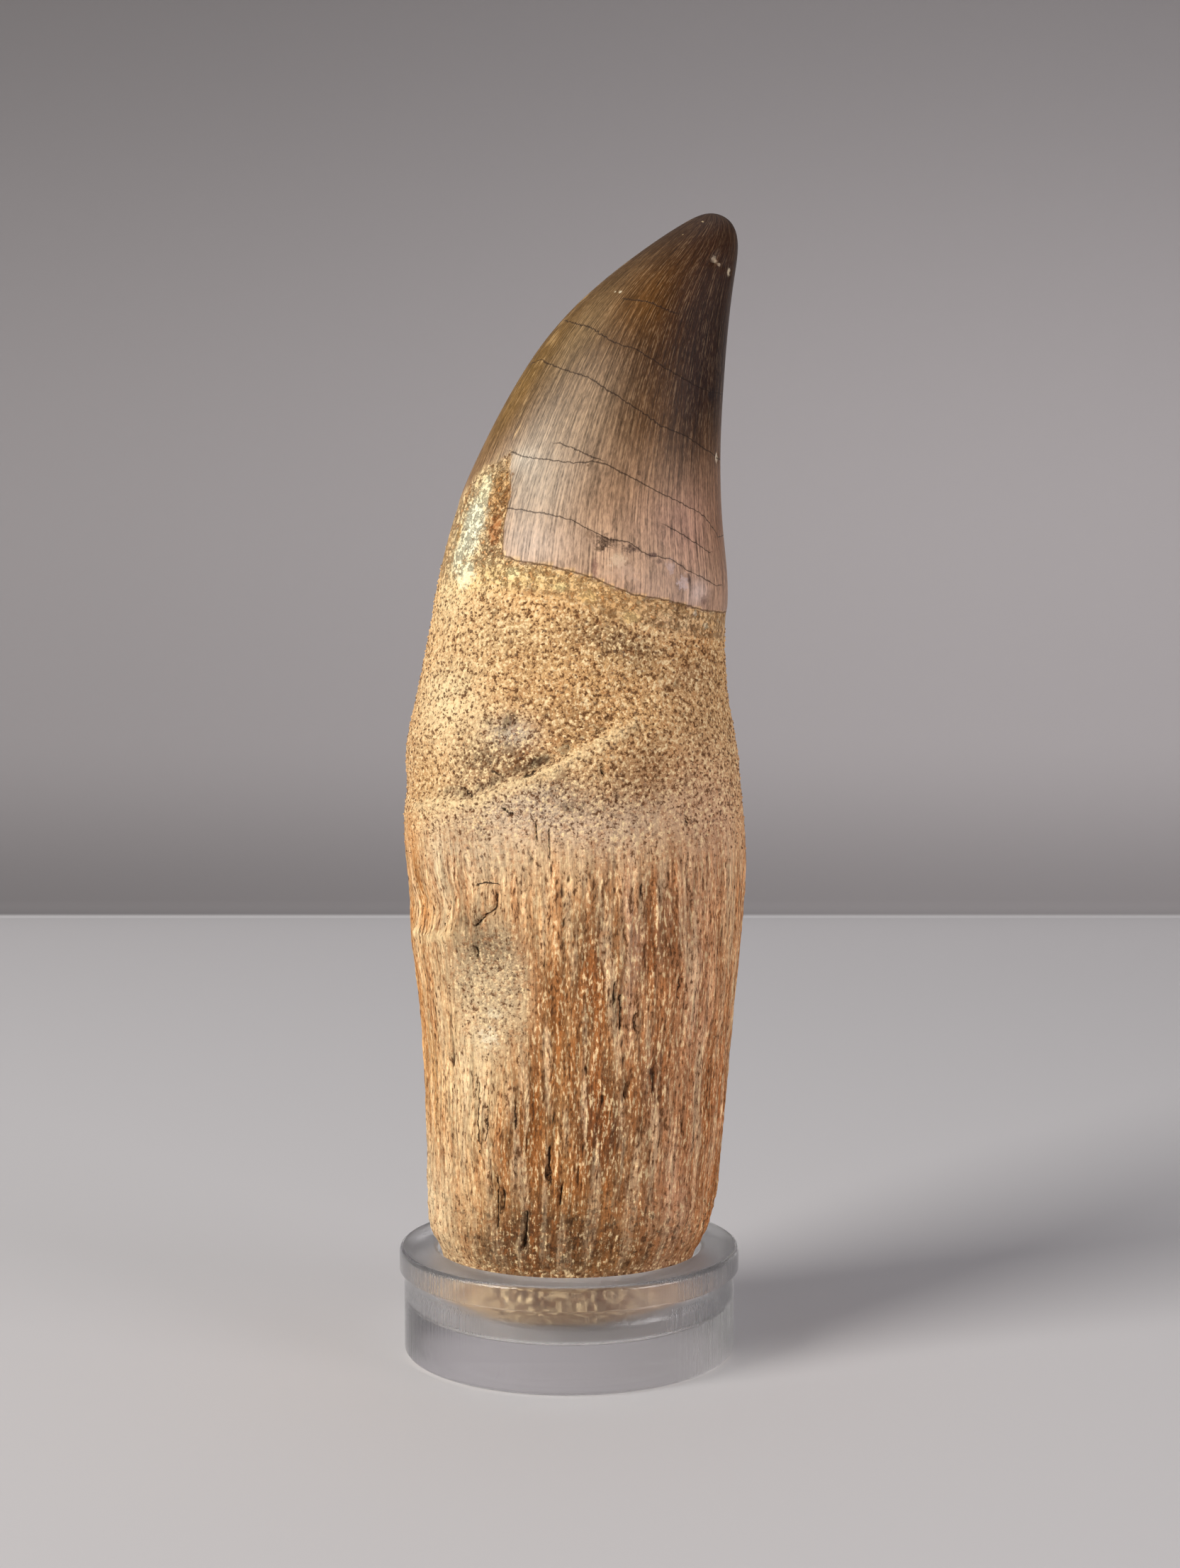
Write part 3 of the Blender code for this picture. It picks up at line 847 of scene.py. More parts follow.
@dataclass
class SkinGrid:
    """A fine grid laid over the tooth's solid: rows of points at rising heights, columns round it."""

    columns: int = 392
    front_share: float = 0.28
    spacings: tuple[Place, ...] = ((4, 0.9), (8.5, 0.9), (10.5, 0.36), (70, 0.36), (76, 0.62), (110, 0.62))
    tip_reach: float = 9.0
    smooth_rows: float = 2.4
    smooth_columns: float = 4.4
    warp: float = 1.2
    merge_within: float = 0.01
    foot_margin: float = 0.02
    height_samples: int = 4000

    def lay(self, solid: bpy.types.Object) -> None:
        """Reads the solid's sections and lays the grid on them.

        Args:
            solid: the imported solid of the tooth. It isn't changed.
        """
        mesh = bmesh.new()
        mesh.from_mesh(solid.data)
        bmesh.ops.remove_doubles(mesh, verts=mesh.verts, dist=self.merge_within * MM)
        ends = [[vert.co[:] for vert in edge.verts] for edge in mesh.edges]
        mesh.free()
        edges = np.array(ends) / MM
        order = np.argsort(edges[:, :, 2], axis=1)
        edges = np.take_along_axis(edges, order[:, :, None], axis=1)
        self.foot = edges[:, 0, 2].min()
        self.tip = edges[np.argmax(edges[:, 1, 2]), 1]
        self.heights = self.row_heights()
        self.shape = (len(self.heights), self.columns)
        turn = 2 * np.arange(self.columns) / self.columns - 1
        self.azimuths = 180 * (turn - self.front_share * np.sin(math.pi * turn) / math.pi)
        extents = np.zeros((self.shape[0], 4))
        bulge = np.zeros(self.shape)
        for row, height in enumerate(self.heights):
            extents[row], bulge[row] = self.read_section(edges, height)
        extents = self.soften(extents, self.smooth_rows, 0.0)
        bulge = self.soften(bulge, self.smooth_rows, self.smooth_columns)
        self.centre = np.column_stack([extents[:, 0] + extents[:, 1], extents[:, 2] + extents[:, 3]]) / 2
        self.half = np.column_stack([extents[:, 1] - extents[:, 0], extents[:, 3] - extents[:, 2]]) / 2
        turn = np.radians(self.azimuths)
        x = self.centre[:, :1] + self.half[:, :1] * np.sin(turn) * bulge
        y = self.centre[:, 1:] - self.half[:, 1:] * np.cos(turn) * bulge
        z = np.repeat(self.heights[:, None], self.columns, axis=1)
        self.points = np.stack([x, y, z], axis=2)
        self.radius = self.half.mean(axis=1)[:, None]
        self.heights_warped = self.heights[:, None] + self.warp * self.clouds(9.0, 4.0)
        self.azimuths_warped = self.azimuths[None] + 5.0 * self.warp * self.clouds(7.0, 31.0)

    def row_heights(self) -> np.ndarray:
        """The rows' heights: closest on the rough root, and drawing together towards the tip."""
        top = self.tip[2]
        depths = np.linspace(math.sqrt(top - self.foot - self.foot_margin), 0.0, self.height_samples) ** 2
        heights = top - depths
        spacing = np.interp(heights, *np.transpose(self.spacings))
        spacing *= np.sqrt(np.clip((top - heights) / self.tip_reach, 1e-4, 1.0))
        steps = np.diff(heights) / ((spacing[1:] + spacing[:-1]) / 2)
        count = np.concatenate([[0.0], np.cumsum(steps)])
        rows = int(count[-1])
        return np.interp(np.arange(rows) * count[-1] / rows, count, heights)

    def read_section(self, edges: np.ndarray, height: float) -> tuple[np.ndarray, np.ndarray]:
        """Cuts the solid at one height.

        Args:
            edges: the solid's edges, each with its lower end first.
            height: where to cut.

        Returns:
            The section's left, right, front and back, and how far it bulges out of an ellipse at each column.
        """
        low, high = edges[:, 0], edges[:, 1]
        cut = (low[:, 2] <= height) & (high[:, 2] > height)
        share = (height - low[cut, 2]) / (high[cut, 2] - low[cut, 2])
        points = low[cut] + (high[cut] - low[cut]) * share[:, None]
        least, most = points.min(axis=0), points.max(axis=0)
        middle, half = (least + most) / 2, (most - least) / 2
        across = (points[:, 0] - middle[0]) / half[0]
        ahead = -(points[:, 1] - middle[1]) / half[1]
        turn = np.degrees(np.arctan2(across, ahead))
        bulge = np.interp(self.azimuths, *self.sorted_pairs(turn, np.hypot(across, ahead)), period=360)
        return np.array([least[0], most[0], least[1], most[1]]), bulge

    @staticmethod
    def sorted_pairs(keys: np.ndarray, values: np.ndarray) -> tuple[np.ndarray, np.ndarray]:
        """Both arrays in the order of the first."""
        order = np.argsort(keys)
        return keys[order], values[order]

    def soften(self, values: np.ndarray, row_reach: float, column_reach: float) -> np.ndarray:
        """Blurs a grid, so the solid's facets don't show.

        Args:
            values: the grid to blur.
            row_reach: the blur's reach in rows. The ends go on straight, so that the tip stays put.
            column_reach: its reach in columns, which close in a ring.

        Returns:
            The blurred grid.
        """
        half, weights = self.bell(row_reach)
        ramp_up = np.arange(half, 0, -1)[:, None]
        before = values[:1] + (values[:1] - values[1:2]) * ramp_up
        after = values[-1:] + (values[-1:] - values[-2:-1]) * ramp_up[::-1]
        padded = np.concatenate([before, values, after])
        rows = len(values)
        result = sum(weight * padded[step : step + rows] for step, weight in enumerate(weights))
        if column_reach:
            half, weights = self.bell(column_reach)
            result = sum(weight * np.roll(result, step - half, axis=1) for step, weight in enumerate(weights))
        return result

    @staticmethod
    def bell(reach: float) -> tuple[int, np.ndarray]:
        """The steps to either side and the weights of a blur with a given reach."""
        half = int(3 * reach) + 1
        weights = np.exp(-0.5 * (np.arange(-half, half + 1) / reach) ** 2)
        return half, weights / weights.sum()

    def around(self, azimuth: float, azimuths: np.ndarray | None = None) -> np.ndarray:
        """Signed distance in millimetres round the tooth from an azimuth, at every point.

        Args:
            azimuth: where the distance is 0.
            azimuths: each point's own azimuth, or None for the true ones.

        Returns:
            The distance, positive to the right as seen from in front.
        """
        own = self.azimuths[None] if azimuths is None else azimuths
        return np.radians((own - azimuth + 180) % 360 - 180) * self.radius

    def place(self, azimuth: float, height: float) -> Vector:
        """The point of the skin nearest to an azimuth and a height, in millimetres."""
        row = int(np.abs(self.heights - height).argmin())
        column = int(np.abs(self.azimuths - azimuth).argmin())
        return Vector(self.points[row, column])

    def clouds(self, size: float, seed: float) -> np.ndarray:
        """Smooth random values from -1 to 1 over the skin, with patches of about the given size."""
        shift = Vector((seed, seed * 1.7, -seed))
        flat = self.points.reshape(-1, 3)
        values = [noise.noise(Vector(point) / size + shift) for point in flat]
        return np.array(values).reshape(self.shape)

    def normals(self) -> np.ndarray:
        """Outward directions of the skin."""
        along = np.gradient(self.points, axis=0)
        around = (np.roll(self.points, -1, axis=1) - np.roll(self.points, 1, axis=1)) / 2
        outward = np.cross(around, along)
        return outward / np.maximum(np.linalg.norm(outward, axis=2, keepdims=True), 1e-9)

    def arc(self) -> np.ndarray:
        """Length along the skin from the foot to each point, up its own column."""
        steps = np.linalg.norm(np.diff(self.points, axis=0), axis=2)
        return np.concatenate([np.zeros((1, self.columns)), np.cumsum(steps, axis=0)])


@dataclass
class ToothSkin:
    """Crown and root of the tooth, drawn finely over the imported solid."""

    grid: SkinGrid = field(default_factory=SkinGrid)
    grain_radius: float = 14.0

    # Lower edge of the enamel. It rises on the left, where the enamel has flaked away.
    enamel_edge: Trace = Trace(
        (
            (-180, 72.5), (-160, 72.9), (-140, 74.0), (-115, 76.5), (-92, 79.2), (-75, 80.3), (-65, 82.0),
            (-56, 82.9), (-46, 83.3), (-44, 82.2), (-40, 81.1), (-37, 79.5), (-36, 76.6), (-34, 74.3),
            (-26, 73.7), (-16, 73.4), (-6, 72.9), (3, 72.3), (13, 71.3), (20, 70.7), (30, 70.4), (42, 69.9),
            (54, 69.4), (73, 69.2), (100, 69.6), (135, 71.0), (180, 72.5),
        )
    )
    enamel_step: float = 0.10
    deepest_enamel: float = 4.0
    foot_rings: tuple[float, ...] = (0.25, 0.6, 0.92)
    foot_drop: float = 0.02
    crest_colour: Colour = (236, 206, 156)

    # Hairline cracks of the enamel, from the lowest up, and the short ones that branch off them.
    cracks: tuple[Crack, ...] = (
        Crack(
            (
                (-180, 77.0), (-60, 79.2), (-39, 78.5), (-27, 78.2), (-15, 77.8), (-6, 77.3), (1, 76.5),
                (9, 75.6), (18, 75.3), (26, 74.2), (36, 73.9), (46, 72.8), (64, 71.6), (110, 72.5), (180, 77.0),
            ),
            start=-42,
            end=70,
        ),
        Crack(
            (
                (-180, 81.0), (-90, 84.8), (-47, 83.7), (-36, 83.1), (-22, 82.7), (-10, 82.4), (-2, 82.5),
                (5, 82.2), (17, 81.1), (30, 79.9), (44, 78.9), (58, 77.9), (71, 76.1), (120, 77.0), (180, 81.0),
            ),
            start=-48,
            end=130,
        ),
        Crack(
            (
                (-180, 87.5), (-100, 91.5), (-60, 92.2), (-34, 91.0), (-16, 90.1), (-1, 88.7), (13, 87.3),
                (28, 85.8), (44, 85.0), (58, 84.0), (76, 83.3), (120, 83.8), (180, 87.5),
            ),
            start=-74,
            end=95,
        ),
        Crack(
            (
                (-180, 93.0), (-100, 96.2), (-67, 95.9), (-33, 94.9), (-10, 93.3), (5, 92.6), (26, 90.9),
                (42, 89.9), (59, 89.2), (120, 89.6), (180, 93.0),
            ),
            start=-70,
            end=160,
        ),
        Crack(
            ((-180, 97.8), (-60, 98.2), (-19, 97.4), (-2, 97.1), (15, 96.3), (60, 95.0), (180, 97.8)),
            start=-24,
            end=22,
        ),
    )
    branches: tuple[Crack, ...] = (
        Crack(((-180, 78.5), (20, 78.2), (60, 74.6), (180, 78.5)), start=34, end=62),
        Crack(((-180, 86.0), (-19, 84.2), (-8, 83.4), (3, 82.5), (40, 82.0), (180, 86.0)), start=-22, end=3),
        Crack(
            ((-180, 89.2), (-100, 88.0), (-60, 88.6), (-20, 87.2), (60, 87.6), (180, 89.2)), start=-128, end=-96
        ),
    )

    # Open cracks and slits of the root.
    slits: tuple[Trace, ...] = (
        Trace(((-34, 45.0), (-31, 45.3), (-26, 45.2)), 0.20, 0.40),
        Trace(((-26.5, 44.4), (-27, 43.0), (-31, 42.3), (-35, 41.3)), 0.26, 0.55),
        Trace(((-47, 43.3), (-48, 42.4), (-49.5, 41.0)), 0.22, 0.45),
        Trace(((-12, 50.6), (-12.2, 49.2)), 0.20, 0.45),
        Trace(((-22.5, 51.9), (-19.5, 51.5)), 0.34, 0.50),
        Trace(((10, 55.8), (10.5, 55.0)), 0.26, 0.45),
        Trace(((-15.5, 54.9), (-12.5, 55.3)), 0.34, 0.45),
        Trace(((-28, 55.2), (-25, 55.0)), 0.30, 0.40),
        Trace(((-39, 53.6), (-35, 53.0)), 0.34, 0.45),
        Trace(((-8, 50.0), (-8.2, 47.6)), 0.15, 0.35),
        Trace(((15, 35.2), (15.3, 32.4)), 0.20, 0.50),
        Trace(((13, 36.4), (12.7, 34.6)), 0.17, 0.40),
        Trace(((20.4, 33.6), (20.6, 32.2)), 0.18, 0.45),
        Trace(((37, 36.9), (36.6, 34.8)), 0.17, 0.45),
        Trace(((18.6, 27.4), (17.9, 26.1)), 0.26, 0.55),
        Trace(((-36, 39.2), (-35.6, 38.4)), 0.28, 0.45),
        Trace(((-37, 27.0), (-36.6, 20.0)), 0.15, 0.35),
        Trace(((-9, 21.6), (-9.4, 18.8)), 0.24, 0.50),
        Trace(((-29, 18.6), (-29.6, 14.0)), 0.26, 0.45),
        Trace(((-27, 17.4), (-27.2, 15.6)), 0.36, 0.50),
        Trace(((-18, 15.4), (-18.4, 12.4)), 0.34, 0.55),
        Trace(((-9, 20.0), (-8.6, 18.4)), 0.26, 0.45),
        Trace(((-4, 18.2), (-4.4, 16.6)), 0.30, 0.50),
        Trace(((-33, 25.0), (-33.4, 22.0)), 0.16, 0.40),
        Trace(((-22, 25.4), (-21.6, 23.2)), 0.18, 0.40),
        Trace(((41, 52.0), (40.6, 50.4)), 0.20, 0.40),
        Trace(((104, 40.0), (103, 36.0), (106, 33.5)), 0.24, 0.50),
        Trace(((-130, 46.0), (-128, 42.5), (-133, 40.2)), 0.26, 0.50),
        Trace(((165, 29.0), (163, 24.5)), 0.22, 0.50),
        Trace(((-96, 30.0), (-95, 24.0)), 0.20, 0.40),
        Trace(((128, 52.0), (133, 51.0)), 0.28, 0.45),
        Trace(((-160, 35.0), (-158.5, 31.0)), 0.20, 0.45),
    )

    # Crests of the sandy ledges, a little sharper than the solid has them.
    crests: tuple[Trace, ...] = (
        Trace(
            ((-62, 51.7), (-48, 52.2), (-37, 52.1), (-28, 52.9), (-22, 53.8), (-14, 54.4), (-5, 55.5)), 0.42, -0.30
        ),
        Trace(((-5, 55.5), (1.5, 56.4), (9, 57.5), (15, 58.4), (21, 59.0)), 0.38, -0.20),
        Trace(((-70, 39.8), (-58, 39.9), (-49, 39.9), (-45, 40.8)), 0.36, -0.26),
    )
    hollows: tuple[Trace, ...] = (
        Trace(((-47, 53.4), (-37, 53.3), (-28, 54.1), (-22, 55.0), (-14, 55.6), (-7, 56.5)), 0.60, 0.22),
        Trace(((-3, 57.2), (4, 58.3), (11, 59.2)), 0.50, 0.20),
        Trace(((-43, 41.8), (-38, 41.4), (-31, 41.9)), 0.50, 0.14),
        Trace(((-8, 53.2), (-3, 51.9), (6, 51.6), (14, 51.4)), 0.50, 0.16),
        Trace(((-30, 59.4), (-25, 58.6), (-20, 59.6)), 0.45, 0.22),
    )

    # Chips of the enamel: azimuth, height, radius and depth.
    chips: tuple[tuple[float, float, float, float], ...] = (
        (36, 101.4, 0.45, 0.16),
        (50, 100.9, 0.30, 0.12),
        (64, 100.3, 0.40, 0.14),
        (-31.5, 98.1, 0.30, 0.10),
        (-27, 98.3, 0.22, 0.08),
        (74, 83.4, 0.45, 0.18),
        (-7, 105.0, 0.20, 0.06),
        (-12, 93.9, 0.22, 0.05),
        (140, 95.0, 0.50, 0.15),
    )

    # Zones of the root: heights between which each sets in, and two patches.
    exposed_from: Place = (9.0, 12.0)
    knobs_from: Place = (21.0, 14.0)
    sand_from: Place = (45.0, 52.0)
    bare_patch: Stain = Stain(-64, 77.5, 9.0, 5.4, BLACK, 1.0, 2.5)
    scoop: Stain = Stain(-31, 35.5, 4.2, 6.2, BLACK, 1.0, 2.0)
    scoop_share: float = 0.85

    # Where the enamel's edge is worn away into a ragged one: azimuths on both sides, and heights.
    frayed_right: Place = (-41, -49)
    frayed_left: Place = (-125, -100)
    frayed_above: Place = (78.0, 80.5)

    def build(self, solid: bpy.types.Object) -> bpy.types.Object:
        """Lays the grid, carves it and makes the mesh with the attributes that the finish reads.

        Args:
            solid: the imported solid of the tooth.

        Returns:
            The skin, without its weathered relief.
        """
        grid = self.grid
        grid.lay(solid)
        enamel = self.enamel_field()
        slit = self.slit_field()
        carved = self.carve(enamel, slit)
        grid.points = grid.points + grid.normals() * carved[:, :, None]
        skin = self.mesh()
        turn = np.radians(grid.azimuths)[None]
        circle = np.ones(grid.shape) * self.grain_radius
        grain = np.stack([circle * np.sin(turn), circle * np.cos(turn), grid.arc()], axis=2)
        crack, crack_weight = self.crack_field(self.cracks)
        branch, branch_weight = self.crack_field(self.branches)
        sand, fibrous, knobs, collar = self.zones(enamel)
        bare = ramp(*self.frayed_right, grid.azimuths) * ramp(*self.frayed_left, grid.azimuths)
        frayed = bare[None] * ramp(*self.frayed_above, grid.heights)[:, None]
        self.store(skin, "grain", grain)
        self.store(skin, "slit", slit[:, :, :3])
        self.store(skin, "patina", self.patina(enamel, frayed))
        fields = {
            "enamel": enamel,
            "crack": crack,
            "crack_weight": crack_weight,
            "branch": branch,
            "branch_weight": branch_weight,
            "sand": sand,
            "fibrous": fibrous,
            "knobs": knobs,
            "collar": collar,
            "frayed": frayed,
            "carved": self.ledges(),
        }
        for name, values in fields.items():
            self.store(skin, name, values)
        return skin

    def enamel_field(self) -> np.ndarray:
        """Distance inside the enamel's edge, negative on the bone below it."""
        grid = self.grid
        above = grid.heights[:, None] > self.enamel_edge.curve(grid.azimuths)[None]
        distance = np.minimum(self.enamel_edge.distance(grid), self.deepest_enamel)
        return np.where(above, distance, -distance)

    def crack_field(self, cracks: tuple[Crack, ...]) -> tuple[np.ndarray, np.ndarray]:
        """One field for a stack of cracks.

        Its sign turns over at each crack and nowhere else, so that it stays smooth between them.

        Args:
            cracks: the cracks from the lowest up.

        Returns:
            The signed distance to the nearest crack, and that crack's weight, which fades at its ends.
        """
        grid = self.grid
        nearest = np.full(grid.shape, FAR)
        weight = np.zeros(grid.shape)
        for rank, crack in enumerate(cracks):
            level = crack.curve(grid.azimuths)
            slope = np.gradient(level, np.radians(grid.azimuths)) / grid.radius
            offset = (grid.heights[:, None] - level[None]) / np.sqrt(1 + slope**2)
            closer = np.abs(offset) < np.abs(nearest)
            nearest = np.where(closer, offset * (-1) ** rank, nearest)
            weight = np.where(closer, crack.seen(grid.azimuths)[None], weight)
        return np.clip(nearest, -3, 3), weight

    def slit_field(self) -> np.ndarray:
        """The nearest slit at each point: distance across it and past its end, its width and its depth."""
        grid = self.grid
        field = np.full((*grid.shape, 4), FAR)
        nearest = np.full(grid.shape, FAR)
        for slit in self.slits:
            across, beyond = slit.offsets(grid)
            gap = np.hypot(across, beyond)
            closer = gap < nearest
            nearest = np.where(closer, gap, nearest)
            sizes = np.broadcast_to([slit.width, slit.depth], (*grid.shape, 2))
            values = np.concatenate([across[:, :, None], beyond[:, :, None], sizes], axis=2)
            field = np.where(closer[:, :, None], values, field)
        field[:, :, :2] = np.clip(field[:, :, :2], -4, 4)
        return field

    def carve(self, enamel: np.ndarray, slit: np.ndarray) -> np.ndarray:
        """The placed marks.

        Args:
            enamel: distance inside the enamel's edge.
            slit: the nearest slit at each point.

        Returns:
            How far each mark moves the skin outwards.
        """
        grid = self.grid
        ragged = enamel + 0.25 * grid.clouds(1.2, 12.0)
        carved = self.enamel_step * (ramp(-0.25, 0.25, ragged) - 0.5) * ramp(60, 66, grid.heights)[:, None]
        gap = np.hypot(slit[:, :, 0], slit[:, :, 1])
        carved = carved - slit[:, :, 3] * np.exp(-((gap / (slit[:, :, 2] * 0.7)) ** 2)) + self.ledges()
        for azimuth, height, radius, depth in self.chips:
            gap = np.hypot(grid.around(azimuth), grid.heights[:, None] - height) / radius
            carved = carved - depth * np.exp(-(gap**4))
        return carved

    def ledges(self) -> np.ndarray:
        """How far the sharpened ledges stand out, and the hollows over them lie in."""
        raised = np.zeros(self.grid.shape)
        for trace in (*self.crests, *self.hollows):
            gap = trace.distance(self.grid) + 0.6 * self.grid.clouds(1.4, 21.0)
            broken = np.clip(1.0 + 0.7 * self.grid.clouds(1.8, 22.0), 0.2, 1.6)
            raised = raised - trace.depth * broken * np.exp(-((gap / trace.width) ** 2))
        return raised

    def zones(self, enamel: np.ndarray) -> tuple[np.ndarray, np.ndarray, np.ndarray, np.ndarray]:
        """How sandy, how fibrous, how knobbly and how waxy each point of the root is.

        Args:
            enamel: distance inside the enamel's edge.

        Returns:
            The four weights.
        """
        grid = self.grid
        height = grid.heights_warped
        bone = ramp(0.3, -0.5, enamel)
        exposed = ramp(*self.exposed_from, grid.heights)[:, None]
        band = ramp(-3.4, -1.6, enamel)
        collar = np.maximum(band, self.bare_patch.share(grid)) * bone
        border = height + 1.8 * grid.clouds(7.0, 33.0) + 1.0 * grid.clouds(1.8, 34.0)
        higher = ramp(*self.sand_from, border)
        scoop = self.scoop_share * self.scoop.share(grid)
        sand = np.maximum(higher * bone, scoop) * exposed * (1 - 0.85 * collar)
        knobs = ramp(*self.knobs_from, height) * exposed
        fibrous = np.clip(1 - higher - scoop - 0.45 * knobs, 0, 1) * bone * exposed
        return sand, fibrous, knobs, collar

    def patina(self, enamel: np.ndarray, frayed: np.ndarray) -> np.ndarray:
        """The broad colours of bone and enamel.

        Args:
            enamel: distance inside the enamel's edge.
            frayed: how far the enamel's edge is worn away into a ragged one.

        Returns:
            The colour at every point, with 1 as a fourth value.
        """
        grid = self.grid
        colour = self.graded(BONE_TONES)
        for stain in BONE_STAINS:
            colour = self.lay_on(colour, stain)
        for crest in self.crests:
            below = crest.distance(grid) + 0.6 * grid.clouds(1.6, 5.0)
            share = 0.6 * np.exp(-((below / 0.6) ** 2))[:, :, None]
            colour = colour * (1 - share) + np.array(linear(self.crest_colour)) * share
        crown = self.graded(ENAMEL_TONES)
        for stain in ENAMEL_STAINS:
            crown = self.lay_on(crown, stain)
        ragged = enamel + frayed * (0.9 * grid.clouds(1.3, 41.0) + 0.6 * grid.clouds(0.5, 42.0))
        covered = np.clip(0.5 + ragged / (0.01 + 1.4 * frayed), 0, 1)[:, :, None]
        colour = colour * (1 - covered) + crown * covered
        return np.concatenate([colour, np.ones((*grid.shape, 1))], axis=2)

    def graded(self, tones: tuple[tuple[float, Colour], ...]) -> np.ndarray:
        """A colour at every point from tones at rising heights.

        Args:
            tones: heights from the lowest up, each with its colour.

        Returns:
            The colours, as linear values.
        """
        levels = [tone[0] for tone in tones]
        shades = np.array([linear(tone[1]) for tone in tones])
        height = self.grid.heights_warped
        return np.stack([np.interp(height, levels, shades[:, band]) for band in range(3)], axis=2)

    def lay_on(self, colour: np.ndarray, stain: Stain) -> np.ndarray:
        """The colours with one more stain laid on them."""
        share = stain.share(self.grid)[:, :, None]
        return colour * (1 - share) + np.array(linear(stain.colour)) * share

    def mesh(self) -> bpy.types.Object:
        """The grid as a closed mesh: its rings, a flat foot of smaller rings and the point of the tip.

        Returns:
            The object, with the foot's rings before the grid's own points.
        """
        grid = self.grid
        rows, columns = grid.shape
        foot = grid.points[0]
        middle = foot.mean(axis=0)
        drop = np.array([0.0, 0.0, self.foot_drop])
        rings = [middle + (foot - middle) * share - drop for share in self.foot_rings]
        stack = np.concatenate([np.array(rings), grid.points])
        points = np.concatenate([stack.reshape(-1, 3), [grid.tip], [middle - drop]]) * MM
        total = rows + len(rings)
        index = np.arange(total * columns).reshape(total, columns)
        after = np.roll(index, -1, axis=1)
        quads = np.stack([index[:-1], after[:-1], after[1:], index[1:]], axis=2).reshape(-1, 4)
        tip, base = total * columns, total * columns + 1
        faces = quads.tolist()
        faces += [(a, b, tip) for a, b in zip(index[-1].tolist(), after[-1].tolist())]
        faces += [(b, a, base) for a, b in zip(index[0].tolist(), after[0].tolist())]
        data = bpy.data.meshes.new("tooth_skin")
        data.from_pydata(points.tolist(), [], faces)
        data.shade_smooth()
        return new_object("tooth_skin", data)

    def store(self, skin: bpy.types.Object, name: str, values: np.ndarray) -> None:
        """Writes a field of the grid to the mesh.

        Args:
            skin: the tooth's mesh object.
            name: the attribute's name.
            values: a number, a vector or a colour for each point of the grid.
        """
        repeated = np.concatenate([np.repeat(values[:1], len(self.foot_rings), axis=0), values])
        width = 1 if values.ndim == 2 else values.shape[2]
        flat = repeated.reshape(-1, width)
        flat = np.concatenate([flat, flat[-1:], flat[:1]])
        kinds = {1: ("FLOAT", "value"), 3: ("FLOAT_VECTOR", "vector"), 4: ("FLOAT_COLOR", "color")}
        kind, slot = kinds[width]
        made = skin.data.attributes.new(name, kind, "POINT")
        made.data.foreach_set(slot, flat.astype(np.float32).ravel())


BONE_TONES: tuple[tuple[float, Colour], ...] = (
    (4.0, (116, 94, 74)),
    (8.5, (122, 96, 72)),
    (10.5, (150, 106, 62)),
    (12.0, (150, 104, 58)),
    (18.0, (172, 122, 70)),
    (30.0, (192, 142, 92)),
    (44.0, (206, 160, 112)),
    (52.0, (216, 178, 132)),
    (58.0, (212, 168, 116)),
    (65.0, (214, 168, 112)),
    (70.0, (228, 182, 124)),
    (80.0, (234, 192, 134)),
)

